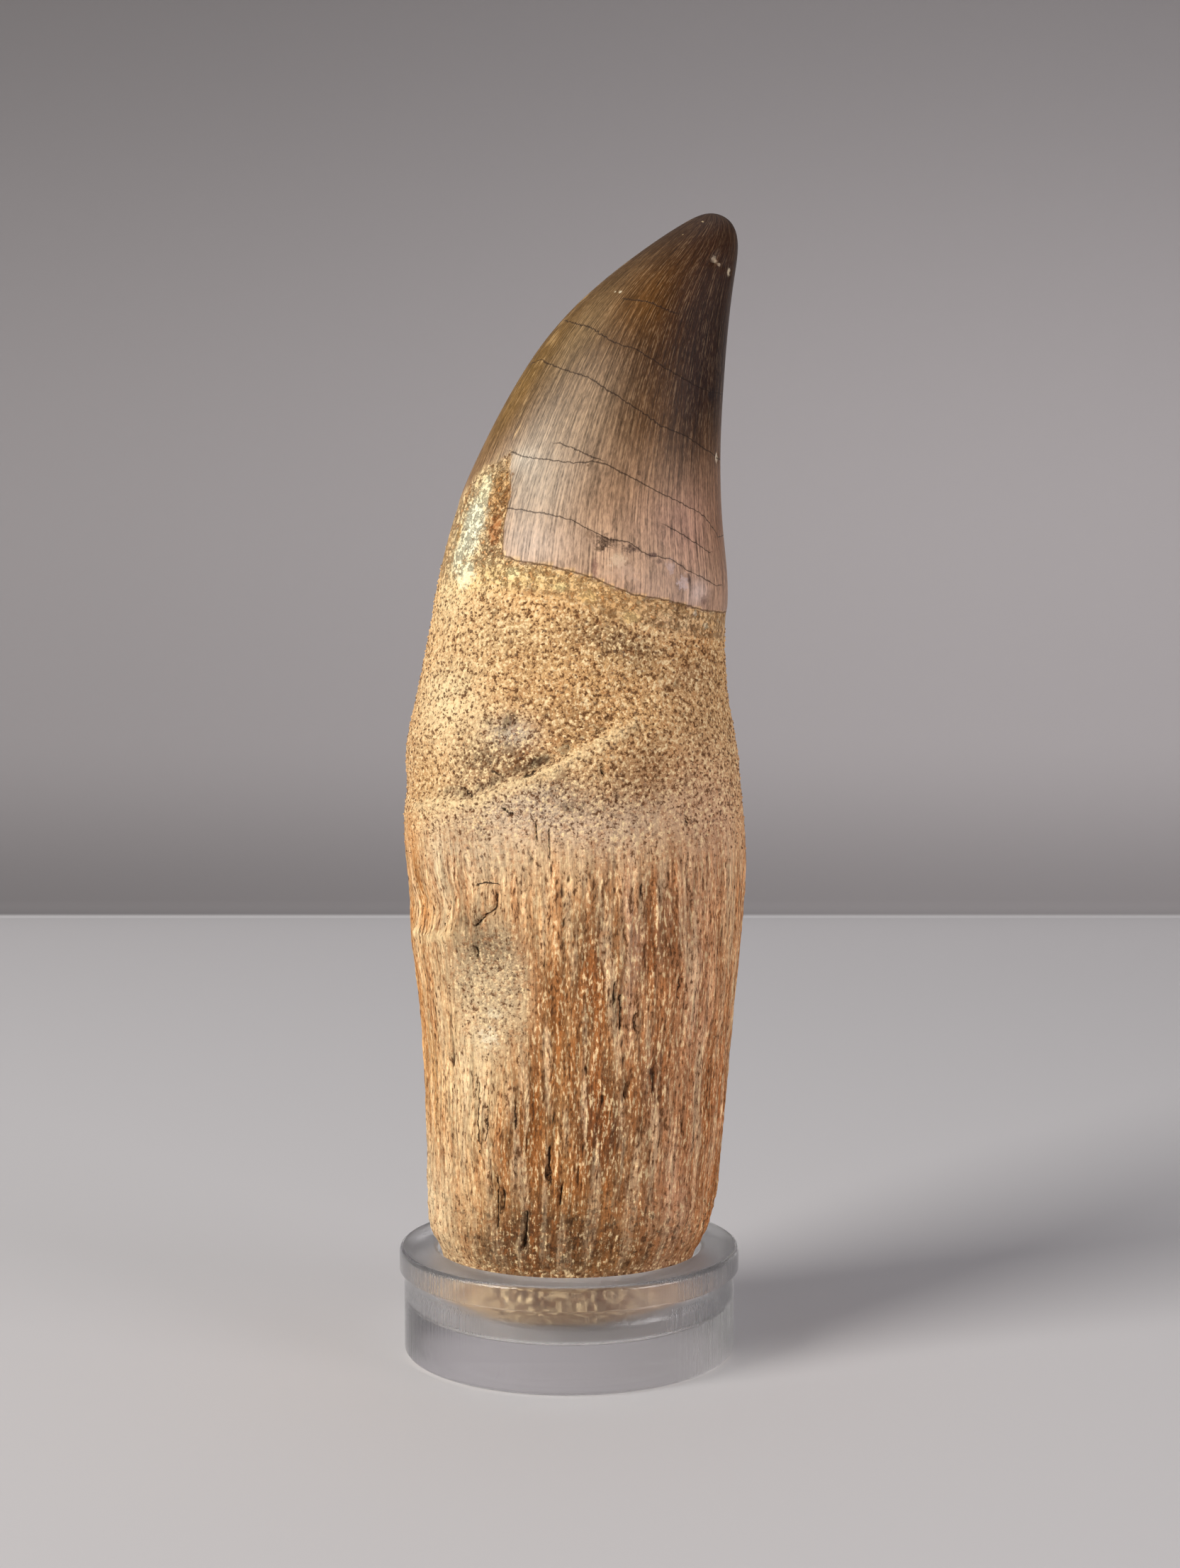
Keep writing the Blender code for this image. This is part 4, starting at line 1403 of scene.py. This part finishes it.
BONE_STAINS: tuple[Stain, ...] = (
    # left flank, paler and yellower
    Stain(-62, 35.0, 9.0, 40.0, (212, 175, 129), 0.85),
    Stain(-84, 34.0, 4.0, 16.0, (214, 150, 84), 0.8),
    Stain(-66, 46.0, 1.8, 5.5, (204, 136, 66), 0.8),
    Stain(-68, 25.0, 1.5, 8.0, (218, 154, 78), 0.45),
    Stain(-35, 48.4, 2.4, 2.4, (166, 118, 70), 0.8),
    Stain(-39, 28.0, 3.0, 5.0, (228, 202, 158), 0.7),
    Stain(-19, 33.5, 1.5, 2.6, (222, 192, 146), 0.7),
    Stain(-50, 45.5, 1.6, 6.0, (226, 200, 160), 0.7),
    Stain(-74, 15.0, 5.0, 6.0, (240, 214, 172), 0.85),
    # right flank, orange
    Stain(72, 24.0, 3.6, 17.0, (186, 112, 62), 0.9),
    Stain(86, 44.0, 5.0, 10.0, (206, 146, 100), 0.8),
    Stain(45, 35.0, 4.2, 17.0, (204, 156, 122), 0.85),
    Stain(42, 17.0, 3.0, 7.0, (206, 158, 126), 0.7),
    # dark upright bands of the lower root
    Stain(6, 37.0, 2.0, 8.0, (112, 64, 30), 0.95),
    Stain(33, 42.0, 2.4, 5.5, (134, 88, 58), 0.75),
    Stain(18.5, 39.5, 0.75, 9.0, (214, 178, 150), 0.8),
    Stain(13, 22.5, 2.2, 3.4, (78, 46, 26), 0.85),
    Stain(13, 36.0, 1.2, 3.4, (140, 96, 56), 0.7),
    Stain(9, 46.5, 1.5, 2.6, (142, 98, 62), 0.75),
    Stain(8, 24.0, 2.0, 8.0, (106, 62, 34), 0.95),
    Stain(-15, 24.0, 2.8, 8.0, (124, 76, 34), 0.95),
    Stain(-17, 14.5, 3.0, 4.2, (74, 47, 27), 0.9),
    Stain(-18, 12.4, 4.5, 2.4, (66, 42, 25), 0.88),
    Stain(28, 27.0, 1.8, 6.0, (122, 76, 50), 0.85),
    Stain(24, 39.0, 2.2, 7.0, (128, 80, 50), 0.8),
    Stain(0, 12.6, 7.0, 3.0, (98, 66, 38), 0.85),
    Stain(56, 22.0, 2.2, 9.0, (160, 98, 56), 0.7),
    Stain(-8, 33.0, 2.0, 5.0, (130, 84, 42), 0.85),
    Stain(24, 17.0, 2.4, 4.0, (132, 88, 56), 0.7),
    Stain(-7, 53.5, 2.8, 1.5, (146, 122, 96), 0.8),
    # broken patch on the lower left, grey and cream
    Stain(-31, 36.5, 4.2, 5.6, (198, 175, 140), 0.9, 2.0),
    Stain(-34, 39.6, 3.2, 1.9, (116, 96, 72), 0.72),
    Stain(-33, 31.2, 1.8, 1.3, (236, 216, 178), 0.4),
    # pale band below the ledge, grey pit above it, painted shade in the hollow over the ledge
    Stain(-34, 47.5, 6.0, 3.6, (214, 190, 156), 0.75),
    Stain(-14, 51.5, 6.0, 2.6, (210, 190, 164), 0.8),
    # painted shade in the hollow just above the ledge
    Stain(-41, 53.4, 3.4, 0.9, (164, 142, 112), 0.6),
    Stain(18, 51.0, 9.0, 2.6, (198, 170, 144), 0.7),
    Stain(-23, 58.8, 2.6, 1.5, (180, 174, 162), 0.78),
    Stain(-30, 56.4, 3.6, 1.8, (138, 116, 88), 0.8),
    Stain(-17, 56.2, 2.2, 1.4, (96, 64, 38), 0.8),
    Stain(-52, 61.0, 4.6, 4.0, (236, 212, 166), 0.8),
    Stain(-60, 55.0, 3.6, 2.6, (196, 152, 96), 0.5),
    Stain(2, 60.0, 4.0, 2.6, (160, 120, 76), 0.6),
    Stain(30, 55.0, 4.4, 3.0, (156, 112, 72), 0.7),
    Stain(56, 50.0, 4.0, 6.0, (206, 160, 126), 0.7),
    # the back: darker bands, a paler shoulder, a brown patch in the sand
    Stain(128, 30.0, 3.0, 12.0, (126, 80, 42), 0.85),
    Stain(158, 24.0, 3.4, 10.0, (206, 160, 116), 0.8),
    Stain(-170, 38.0, 3.0, 9.0, (130, 84, 46), 0.8),
    Stain(-142, 22.0, 3.2, 11.0, (212, 168, 120), 0.7),
    Stain(-120, 34.0, 3.0, 12.0, (142, 94, 50), 0.75),
    Stain(150, 58.0, 6.0, 3.4, (150, 112, 74), 0.8),
    Stain(-150, 62.0, 6.5, 3.0, (232, 202, 158), 0.7),
    Stain(-175, 50.0, 7.0, 2.6, (206, 176, 140), 0.7),
    Stain(115, 46.0, 4.5, 3.0, (168, 126, 86), 0.7),
    # grey granular patch under the crown, cream collar round it
    Stain(20, 66.6, 5.2, 2.0, (122, 98, 70), 0.8),
    Stain(50, 63.5, 4.6, 2.4, (150, 112, 78), 0.6),
    Stain(56, 66.8, 3.2, 1.8, (216, 162, 106), 0.85),
    Stain(-30, 67.0, 4.0, 2.0, (186, 158, 116), 0.6),
    # the bare patch: pale cream, made near white, partly as a painted highlight
    Stain(-62, 76.5, 4.4, 6.4, (255, 238, 190), 0.95),
    Stain(-44, 79.2, 1.7, 3.6, (188, 134, 74), 0.85),
    Stain(-80, 75.0, 2.6, 5.0, (214, 168, 108), 0.7),
    Stain(-30, 72.2, 6.0, 1.1, (246, 208, 140), 0.85),
    Stain(10, 70.2, 6.0, 1.0, (214, 164, 106), 0.7),
    Stain(44, 68.6, 4.0, 1.2, (232, 188, 138), 0.8),
)

ENAMEL_TONES: tuple[tuple[float, Colour], ...] = (
    (69.0, (178, 142, 118)),
    (74.0, (184, 150, 122)),
    (80.0, (152, 118, 90)),
    (86.0, (96, 66, 39)),
    (92.0, (64, 38, 17)),
    (98.0, (58, 33, 14)),
    (103.0, (50, 29, 15)),
    (106.0, (44, 26, 18)),
)

ENAMEL_STAINS: tuple[Stain, ...] = (
    # paler grey left of the middle: partly the enamel's own colour, partly a painted sheen
    Stain(-28, 82.0, 4.6, 6.5, (181, 165, 145), 0.75),
    Stain(-22, 75.5, 4.6, 2.2, (184, 164, 148), 0.6),
    Stain(-14, 88.0, 2.6, 4.5, (156, 130, 102), 0.5),
    Stain(-40, 94.0, 2.6, 5.0, (140, 116, 84), 0.6),
    # purple brown right side, nearly black along the cutting edge
    Stain(50, 91.0, 3.2, 11.0, (44, 21, 12), 0.95),
    Stain(78, 94.0, 3.6, 13.0, (26, 12, 8), 0.95),
    Stain(30, 101.0, 2.6, 5.0, (48, 24, 12), 0.8),
    Stain(46, 76.0, 4.4, 4.0, (178, 136, 118), 0.7),
    Stain(76, 76.0, 3.6, 6.0, (128, 88, 64), 0.8),
    # amber left flank
    Stain(-74, 90.0, 3.4, 8.0, (132, 100, 52), 0.8),
    Stain(-10, 97.0, 3.0, 4.0, (104, 68, 28), 0.6),
    Stain(140, 90.0, 7.0, 12.0, (92, 62, 40), 0.7),
    Stain(-150, 80.0, 8.0, 5.0, (160, 132, 104), 0.6),
    # paler foot of the crown
    Stain(52, 71.2, 1.2, 1.0, (208, 186, 178), 0.6),
    Stain(-36, 82.8, 1.6, 1.0, (206, 194, 176), 0.5),
)


@dataclass
class Weathering:
    """Relief that time left on the skin: fibres and slits on the lower root, grit and pits above."""

    fibre_width: float = 0.78
    fibre_length: float = 8.0
    fibre_height: float = 0.15
    slit_width: float = 0.55
    slit_length: float = 2.4
    slit_depth: float = 0.30
    grit_size: float = 0.58
    grit_height: float = 0.15
    knob_size: float = 1.2
    knob_height: float = 0.30
    enamel_ripple: float = 0.012

    def sizes(self) -> dict[str, float]:
        """The sizes by the names of the tree's inputs, such as Fibre Width."""
        return {name.replace("_", " ").title(): size for name, size in asdict(self).items()}

    def tree(self) -> bpy.types.NodeTree:
        """Builds the geometry group that moves the skin in or out and stores by how much."""
        takes = {
            SocketKind.SHAPE: ("Skin",),
            SocketKind.FINISH: ("Finish",),
            SocketKind.NUMBER: tuple(self.sizes()),
        }
        group = Group("weathering", TreeKind.GEOMETRY, takes, {SocketKind.SHAPE: ("Skin",)})
        grain = group.stored("grain", "FLOAT_VECTOR")
        place = group.out("GeometryNodeInputPosition").by((1 / MM,) * 3)
        relief = self.fibres(group, grain) + self.grit(group, place)
        relief = relief + self.knobs(group, place) + self.ripple(group, grain)
        stored = {"Geometry": group["Skin"], "Name": "relief", "Value": relief + group.stored("carved")}
        kept = group.out("GeometryNodeStoreNamedAttribute", stored, data_type="FLOAT", domain="POINT")
        offset = group.out("GeometryNodeInputNormal").amplified(relief * MM)
        group.give_dressed("Skin", group.out("GeometryNodeSetPosition", {"Geometry": kept, "Offset": offset}))
        return group.tree

    def swing(self, value: Wire, height: Wire) -> Wire:
        """Turns a cloudy value round 0.5 into a height both ways from 0."""
        return (value - 0.5) * 3.2 * height

    def fibres(self, group: Group, grain: Wire) -> Wire:
        """Long ridges, finer ones on them, and short slits between them, where the root is fibrous."""
        height = group["Fibre Height"]
        place = grain.counted(group["Fibre Width"], group["Fibre Length"])
        ridges = self.swing(place.noise(1.0), height)
        fine = self.swing(place.by((1.9, 1.9, 2.8)).noise(1.0), height)
        short = grain.counted(group["Slit Width"], group["Slit Length"])
        slits = short.noise(1.0, 1.0).rise(0.66, 0.76) * group["Slit Depth"]
        return (fine.scaled(0.5, ridges) - slits) * group.stored("fibrous")

    def grit(self, group: Group, place: Wire) -> Wire:
        """A rough sandy surface with small pits. A little of it lies on the fibres too."""
        scale = 1.0 / group["Grit Size"]
        height = group["Grit Height"]
        rough = self.swing(place.noise(scale, 3.0, 0.7), height)
        pits = place.noise(scale * 0.45, 1.0).rise(0.62, 0.72)
        sand = group.stored("sand")
        return (rough - pits * height) * (sand.larger(0.25) * group.stored("fibrous").larger(sand))

    def knobs(self, group: Group, place: Wire) -> Wire:
        """Coarse lumps round the foot."""
        lumps = place.by((1.0, 1.0, 0.55)).noise(1.0 / group["Knob Size"], 4.0, 0.65)
        return self.swing(lumps, group["Knob Height"]) * group.stored("knobs")

    def ripple(self, group: Group, grain: Wire) -> Wire:
        """Barely felt striations of the enamel."""
        ridges = self.swing(grain.by((1.4, 1.4, 0.05)).noise(1.0), group["Enamel Ripple"])
        return ridges * group.stored("enamel").rise(0.0, 0.6)

    def apply(self, skin: bpy.types.Object, finish: bpy.types.Material) -> bpy.types.Object:
        """Weathers the skin.

        Args:
            skin: the carved skin.
            finish: its material.

        Returns:
            The same object with the weathered mesh.
        """
        skin.data = run_tree(skin, self.tree(), {**self.sizes(), "Finish": finish}, skin.name)
        return skin


def run_tree(
    base: bpy.types.Object, tree: bpy.types.NodeTree, values: dict[str, Any], name: str
) -> bpy.types.Mesh:
    """Runs a geometry group on an object's mesh and makes its result a plain mesh.

    Args:
        base: the object that the group starts from. It stays as it is.
        tree: the group.
        values: its inputs by name.
        name: the name of the mesh that results.

    Returns:
        The new mesh.
    """
    modifier = base.modifiers.new(tree.name, "NODES")
    modifier.node_group = tree
    for item in tree.interface.items_tree:
        if item.item_type == "SOCKET" and item.in_out == "INPUT" and item.name in values:
            modifier[item.identifier] = values[item.name]
    evaluated = base.evaluated_get(bpy.context.evaluated_depsgraph_get())
    data = bpy.data.meshes.new_from_object(evaluated)
    data.name = name
    base.modifiers.remove(modifier)
    return data


@dataclass
class CementedSand:
    """Grains of sand that stand proud of the skin wherever it is sandy."""

    per_square_mm: float = 3.6
    smallest: float = 0.06
    largest: float = 0.15
    crowding: float = 1.5
    least_shape: tuple[float, float, float] = (0.7, 0.8, 0.6)
    largest_shape: tuple[float, float, float] = (1.1, 1.3, 1.0)
    seed: int = 7
    spin_seed: int = 3
    size_seed: int = 5
    shape_seed: int = 9

    def tree(self) -> bpy.types.NodeTree:
        """Builds the geometry group that scatters the grains."""
        takes = {
            SocketKind.SHAPE: ("Skin",),
            SocketKind.FINISH: ("Finish",),
            SocketKind.NUMBER: ("Grains Per Area", "Smallest", "Largest"),
            SocketKind.WHOLE: ("Seed",),
        }
        group = Group("cemented sand", TreeKind.GEOMETRY, takes, {SocketKind.SHAPE: ("Grains",)})
        thick = group.math("POWER", group.stored("sand"), self.crowding) * group["Grains Per Area"]
        scatter = {"Mesh": group["Skin"], "Density": thick, "Seed": group["Seed"]}
        points = group.out("GeometryNodeDistributePointsOnFaces", scatter, "Points")
        tone = group.out("FunctionNodeRandomValue", {"Seed": group["Seed"]}, 1, data_type="FLOAT")
        stored = {"Geometry": points, "Name": "tone", "Value": tone}
        toned = group.out("GeometryNodeStoreNamedAttribute", stored, data_type="FLOAT", domain="POINT")
        turns = {1: (math.tau,) * 3, "Seed": self.spin_seed}
        spin = group.out("FunctionNodeRandomValue", turns, data_type="FLOAT_VECTOR")
        sizes = {2: group["Smallest"], 3: group["Largest"], "Seed": self.size_seed}
        size = group.out("FunctionNodeRandomValue", sizes, 1, data_type="FLOAT")
        shapes = {0: self.least_shape, 1: self.largest_shape, "Seed": self.shape_seed}
        shape = group.out("FunctionNodeRandomValue", shapes, data_type="FLOAT_VECTOR")
        placed = {
            "Points": toned,
            "Instance": group.out("GeometryNodeMeshIcoSphere", {"Radius": 1.0, "Subdivisions": 1}),
            "Rotation": group.out("FunctionNodeEulerToRotation", {0: spin}),
            "Scale": shape.amplified(size * MM),
        }
        group.give_dressed("Grains", group.out("GeometryNodeInstanceOnPoints", placed))
        return group.tree

    def build(self, skin: bpy.types.Object, finish: bpy.types.Material) -> bpy.types.Object:
        """Scatters the grains.

        Args:
            skin: the weathered skin of the tooth.
            finish: the grains' material.

        Returns:
            All the grains as one piece.
        """
        values = {
            "Grains Per Area": self.per_square_mm / MM**2,
            "Smallest": self.smallest,
            "Largest": self.largest,
            "Seed": self.seed,
            "Finish": finish,
        }
        return new_object("tooth_sand", run_tree(skin, self.tree(), values, "tooth_sand"))


@dataclass
class ClearStand:
    """The round stand, turned again with softly rounded edges. Radii and heights are the solid's own."""

    lip_height: float = 2.3
    lip_slope: float = 0.5
    lip_overhang: float = 0.45
    neck_depth: float = 0.28
    neck_height: float = 1.3
    seat_radius: float = 12.4
    seat_floor: float = 3.8
    rim_round: float = 0.50
    foot_round: float = 0.40
    floor_round: float = 0.5
    lip_bevel: float = 0.15
    lip_rise: float = 0.2
    neck_flare: float = 0.1
    sharp_angle: float = 40.0
    segments: int = 192

    def profile(self, radius: float, height: float) -> list[Place]:
        """The half section, from the middle of the underside round to the middle of the seat.

        Args:
            radius: the lip's radius.
            height: the stand's height.

        Returns:
            Points as radius and height.
        """
        body = radius - self.lip_overhang
        under_lip = height - self.lip_height
        points = [(0.0, 0.0), (body * 0.5, 0.0)]
        points += self.arc(body - self.foot_round, self.foot_round, self.foot_round, -90, 0)
        neck = body - self.neck_depth
        points += [(body, under_lip / 2), (body, under_lip - self.neck_height)]
        points += [(neck, under_lip - self.lip_slope), (neck + self.neck_flare, under_lip - self.lip_bevel)]
        points += [(radius - self.lip_bevel, under_lip), (radius, under_lip + self.lip_rise)]
        points += self.arc(radius - self.rim_round, height - self.rim_round, self.rim_round, 0, 90)
        inner = self.seat_radius + self.rim_round
        points += [((radius + inner) / 2, height)]
        points += self.arc(inner, height - self.rim_round, self.rim_round, 90, 180)
        points += [(self.seat_radius, (height + self.seat_floor) / 2)]
        corner = self.seat_radius - self.floor_round
        points += self.arc(corner, self.seat_floor + self.floor_round, self.floor_round, 0, -90)
        points += [(self.seat_radius * 0.5, self.seat_floor), (0.0, self.seat_floor)]
        return points

    @staticmethod
    def arc(x: float, z: float, radius: float, start: float, end: float, steps: int = 6) -> list[Place]:
        """Points on a round edge about a centre, from one angle to another."""
        turns = [math.radians(start + (end - start) * step / steps) for step in range(steps + 1)]
        return [(x + radius * math.cos(turn), z + radius * math.sin(turn)) for turn in turns]

    def build(self, finish: bpy.types.Material) -> bpy.types.Object:
        """Turns the stand.

        Args:
            finish: its material.

        Returns:
            The stand as one closed mesh.
        """
        low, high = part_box("stand")
        profile = self.profile(high.x / MM, high.z / MM)
        mesh = bmesh.new()
        points = [mesh.verts.new((x * MM, 0.0, z * MM)) for x, z in profile]
        edges = [mesh.edges.new(pair) for pair in zip(points, points[1:])]
        ring = {"cent": (0, 0, 0), "axis": (0, 0, 1), "angle": math.tau, "steps": self.segments}
        bmesh.ops.spin(mesh, geom=points + edges, use_merge=True, **ring)
        bmesh.ops.remove_doubles(mesh, verts=mesh.verts, dist=0.005 * MM)
        bmesh.ops.recalc_face_normals(mesh, faces=mesh.faces)
        stand = smooth_object("clear_stand", mesh, finish)
        stand.data.set_sharp_from_angle(angle=math.radians(self.sharp_angle))
        return stand


@dataclass(frozen=True)
class Lamp:
    """A soft square light: where it stands, what it is aimed at, its side, its power and its colour."""

    name: str
    place: tuple[float, float, float]
    aim: tuple[float, float, float]
    width: float
    height: float
    power: float
    colour: Colour


@dataclass
class Studio:
    """Pale table, a wall with painted shade, soft lights and the camera."""

    table_reach: float = 0.345
    cove_radius: float = 0.004
    cove_steps: int = 12
    wall_height: float = 0.9
    half_width: float = 1.2
    front_reach: float = 0.9
    table_drop: float = 0.0001
    table_colour: Colour = (205, 203, 205)
    wall_colour: Colour = (162, 158, 160)
    roughness: float = 0.8
    gloss: float = 0.2
    foot_reach: float = 0.045
    foot_shade: float = 0.66
    top_span: Place = (0.08, 0.26)
    top_shade: float = 0.48
    side_span: Place = (-0.20, 0.16)
    side_shades: Place = (0.72, 1.06)
    air: Colour = (188, 188, 192)
    air_strength: float = 0.18
    camera_place: tuple[float, float, float] = (0.00197, -0.22096, 0.06704)
    camera_pitch: float = -3.57
    lens: float = 54.39
    film_width: float = 36.0
    nearest_seen: float = 0.01
    lamps: tuple[Lamp, ...] = (
        Lamp("key", (-0.71, -0.51, 0.47), (0.0, 0.0, 0.06), 0.46, 0.58, 11.2, (255, 252, 246)),
        Lamp("fill", (0.54, -0.36, 0.09), (0.0, 0.0, 0.05), 0.30, 0.30, 2.55, (254, 250, 252)),
        Lamp("top", (0.05, 0.10, 0.62), (0.0, 0.05, 0.0), 0.5, 0.5, 0.7, (250, 250, 255)),
    )

    def build(self) -> None:
        """Sets up everything."""
        self.sweep()
        for lamp in self.lamps:
            self.hang(lamp)
        self.sky()
        self.stand_camera()
        bpy.context.scene.view_settings.view_transform = "Standard"

    def sweep(self) -> None:
        """The table and the wall behind it as one sheet with a rounded corner."""
        corner = self.table_reach - self.cove_radius
        line = [(-self.front_reach, 0.0)]
        for step in range(self.cove_steps + 1):
            turn = math.radians(90 * step / self.cove_steps)
            line.append((corner + self.cove_radius * math.sin(turn), self.cove_radius * (1 - math.cos(turn))))
        line.append((self.table_reach, self.wall_height))
        mesh = bmesh.new()
        left, right = (
            [mesh.verts.new((side * self.half_width, y, z - self.table_drop)) for y, z in line] for side in (-1, 1)
        )
        for index in range(len(line) - 1):
            mesh.faces.new((left[index], right[index], right[index + 1], left[index + 1]))
        smooth_object("studio_sweep", mesh, self.sweep_finish())

    def sweep_finish(self) -> bpy.types.Material:
        """Matt pale table that turns into a greyer wall, with painted shade: darker at its foot, at its top and on
        the left, where less light reaches.
        """
        surface = Surface("matt studio sweep")
        across, _, height = surface.out("ShaderNodeTexCoord", output="Object").parts()
        # painted shade: the wall's colour is scaled down at its foot, towards its top and on the left
        foot = surface.mix(height.rise(0.0, self.foot_reach), self.foot_shade, 1.0)
        top = surface.mix(height.rise(*self.top_span), 1.0, self.top_shade)
        gain = foot * top * surface.mix(across.rise(*self.side_span), *self.side_shades)
        scaled = {0: linear(self.wall_colour), "Scale": gain}
        wall = surface.out("ShaderNodeVectorMath", scaled, operation="SCALE")
        layers = {0: height.rise(-self.table_drop * 0.9, 0.0008), 6: rgba(self.table_colour), 7: wall}
        inputs = {
            "Base Color": surface.out("ShaderNodeMix", layers, 2, data_type="RGBA"),
            "Roughness": self.roughness,
            "Specular IOR Level": self.gloss,
        }
        surface.connect(surface.shader, inputs)
        return surface.material

    def hang(self, lamp: Lamp) -> None:
        """Adds one light."""
        light = bpy.data.lights.new(lamp.name, "AREA")
        light.shape = "RECTANGLE"
        light.size = lamp.width
        light.size_y = lamp.height
        light.energy = lamp.power
        light.color = linear(lamp.colour)
        holder = new_object(lamp.name, light)
        holder.location = lamp.place
        aim = Vector(lamp.aim) - Vector(lamp.place)
        holder.rotation_euler = aim.to_track_quat("-Z", "Y").to_euler()

    def sky(self) -> None:
        """Even light from all round."""
        world = bpy.data.worlds.new("studio air")
        world.use_nodes = True
        graph = Graph(world.node_tree)
        shade = graph.out("ShaderNodeBackground", {0: rgba(self.air), 1: self.air_strength})
        graph.add("ShaderNodeOutputWorld", {0: shade})
        bpy.context.scene.world = world

    def stand_camera(self) -> None:
        """The camera a little above the middle of the tooth, tipped down by a few degrees."""
        camera = bpy.data.cameras.new("camera")
        camera.sensor_fit = "AUTO"
        camera.sensor_width = self.film_width
        camera.lens = self.lens
        camera.clip_start = self.nearest_seen
        holder = new_object("camera", camera)
        holder.location = self.camera_place
        holder.rotation_euler = (math.radians(90 + self.camera_pitch), 0.0, 0.0)
        bpy.context.scene.camera = holder


def main() -> None:
    """Builds every piece in order and tells what it made."""
    logging.basicConfig(level=logging.INFO, format="%(message)s")
    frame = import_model()
    effects = SharedEffects()
    tooth = ToothSkin()
    skin = tooth.build(frame["nodes"]["tooth"])
    fossil = FossilFinish()
    places = [tooth.grid.place(mark.azimuth, mark.height) for mark in fossil.marks]
    skin = Weathering().apply(skin, fossil.material(effects, places))
    sand = CementedSand().build(skin, SandFinish().material(effects))
    stand = ClearStand().build(AcrylicFinish().material(effects))
    for piece, slot in ((skin, "tooth"), (sand, "tooth"), (stand, "stand")):
        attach(piece, "root")
        logger.info("%s: %d faces", piece.name, len(piece.data.polygons))
    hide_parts("tooth")
    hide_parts("stand")
    Studio().build()


if __name__ == "__main__":
    main()
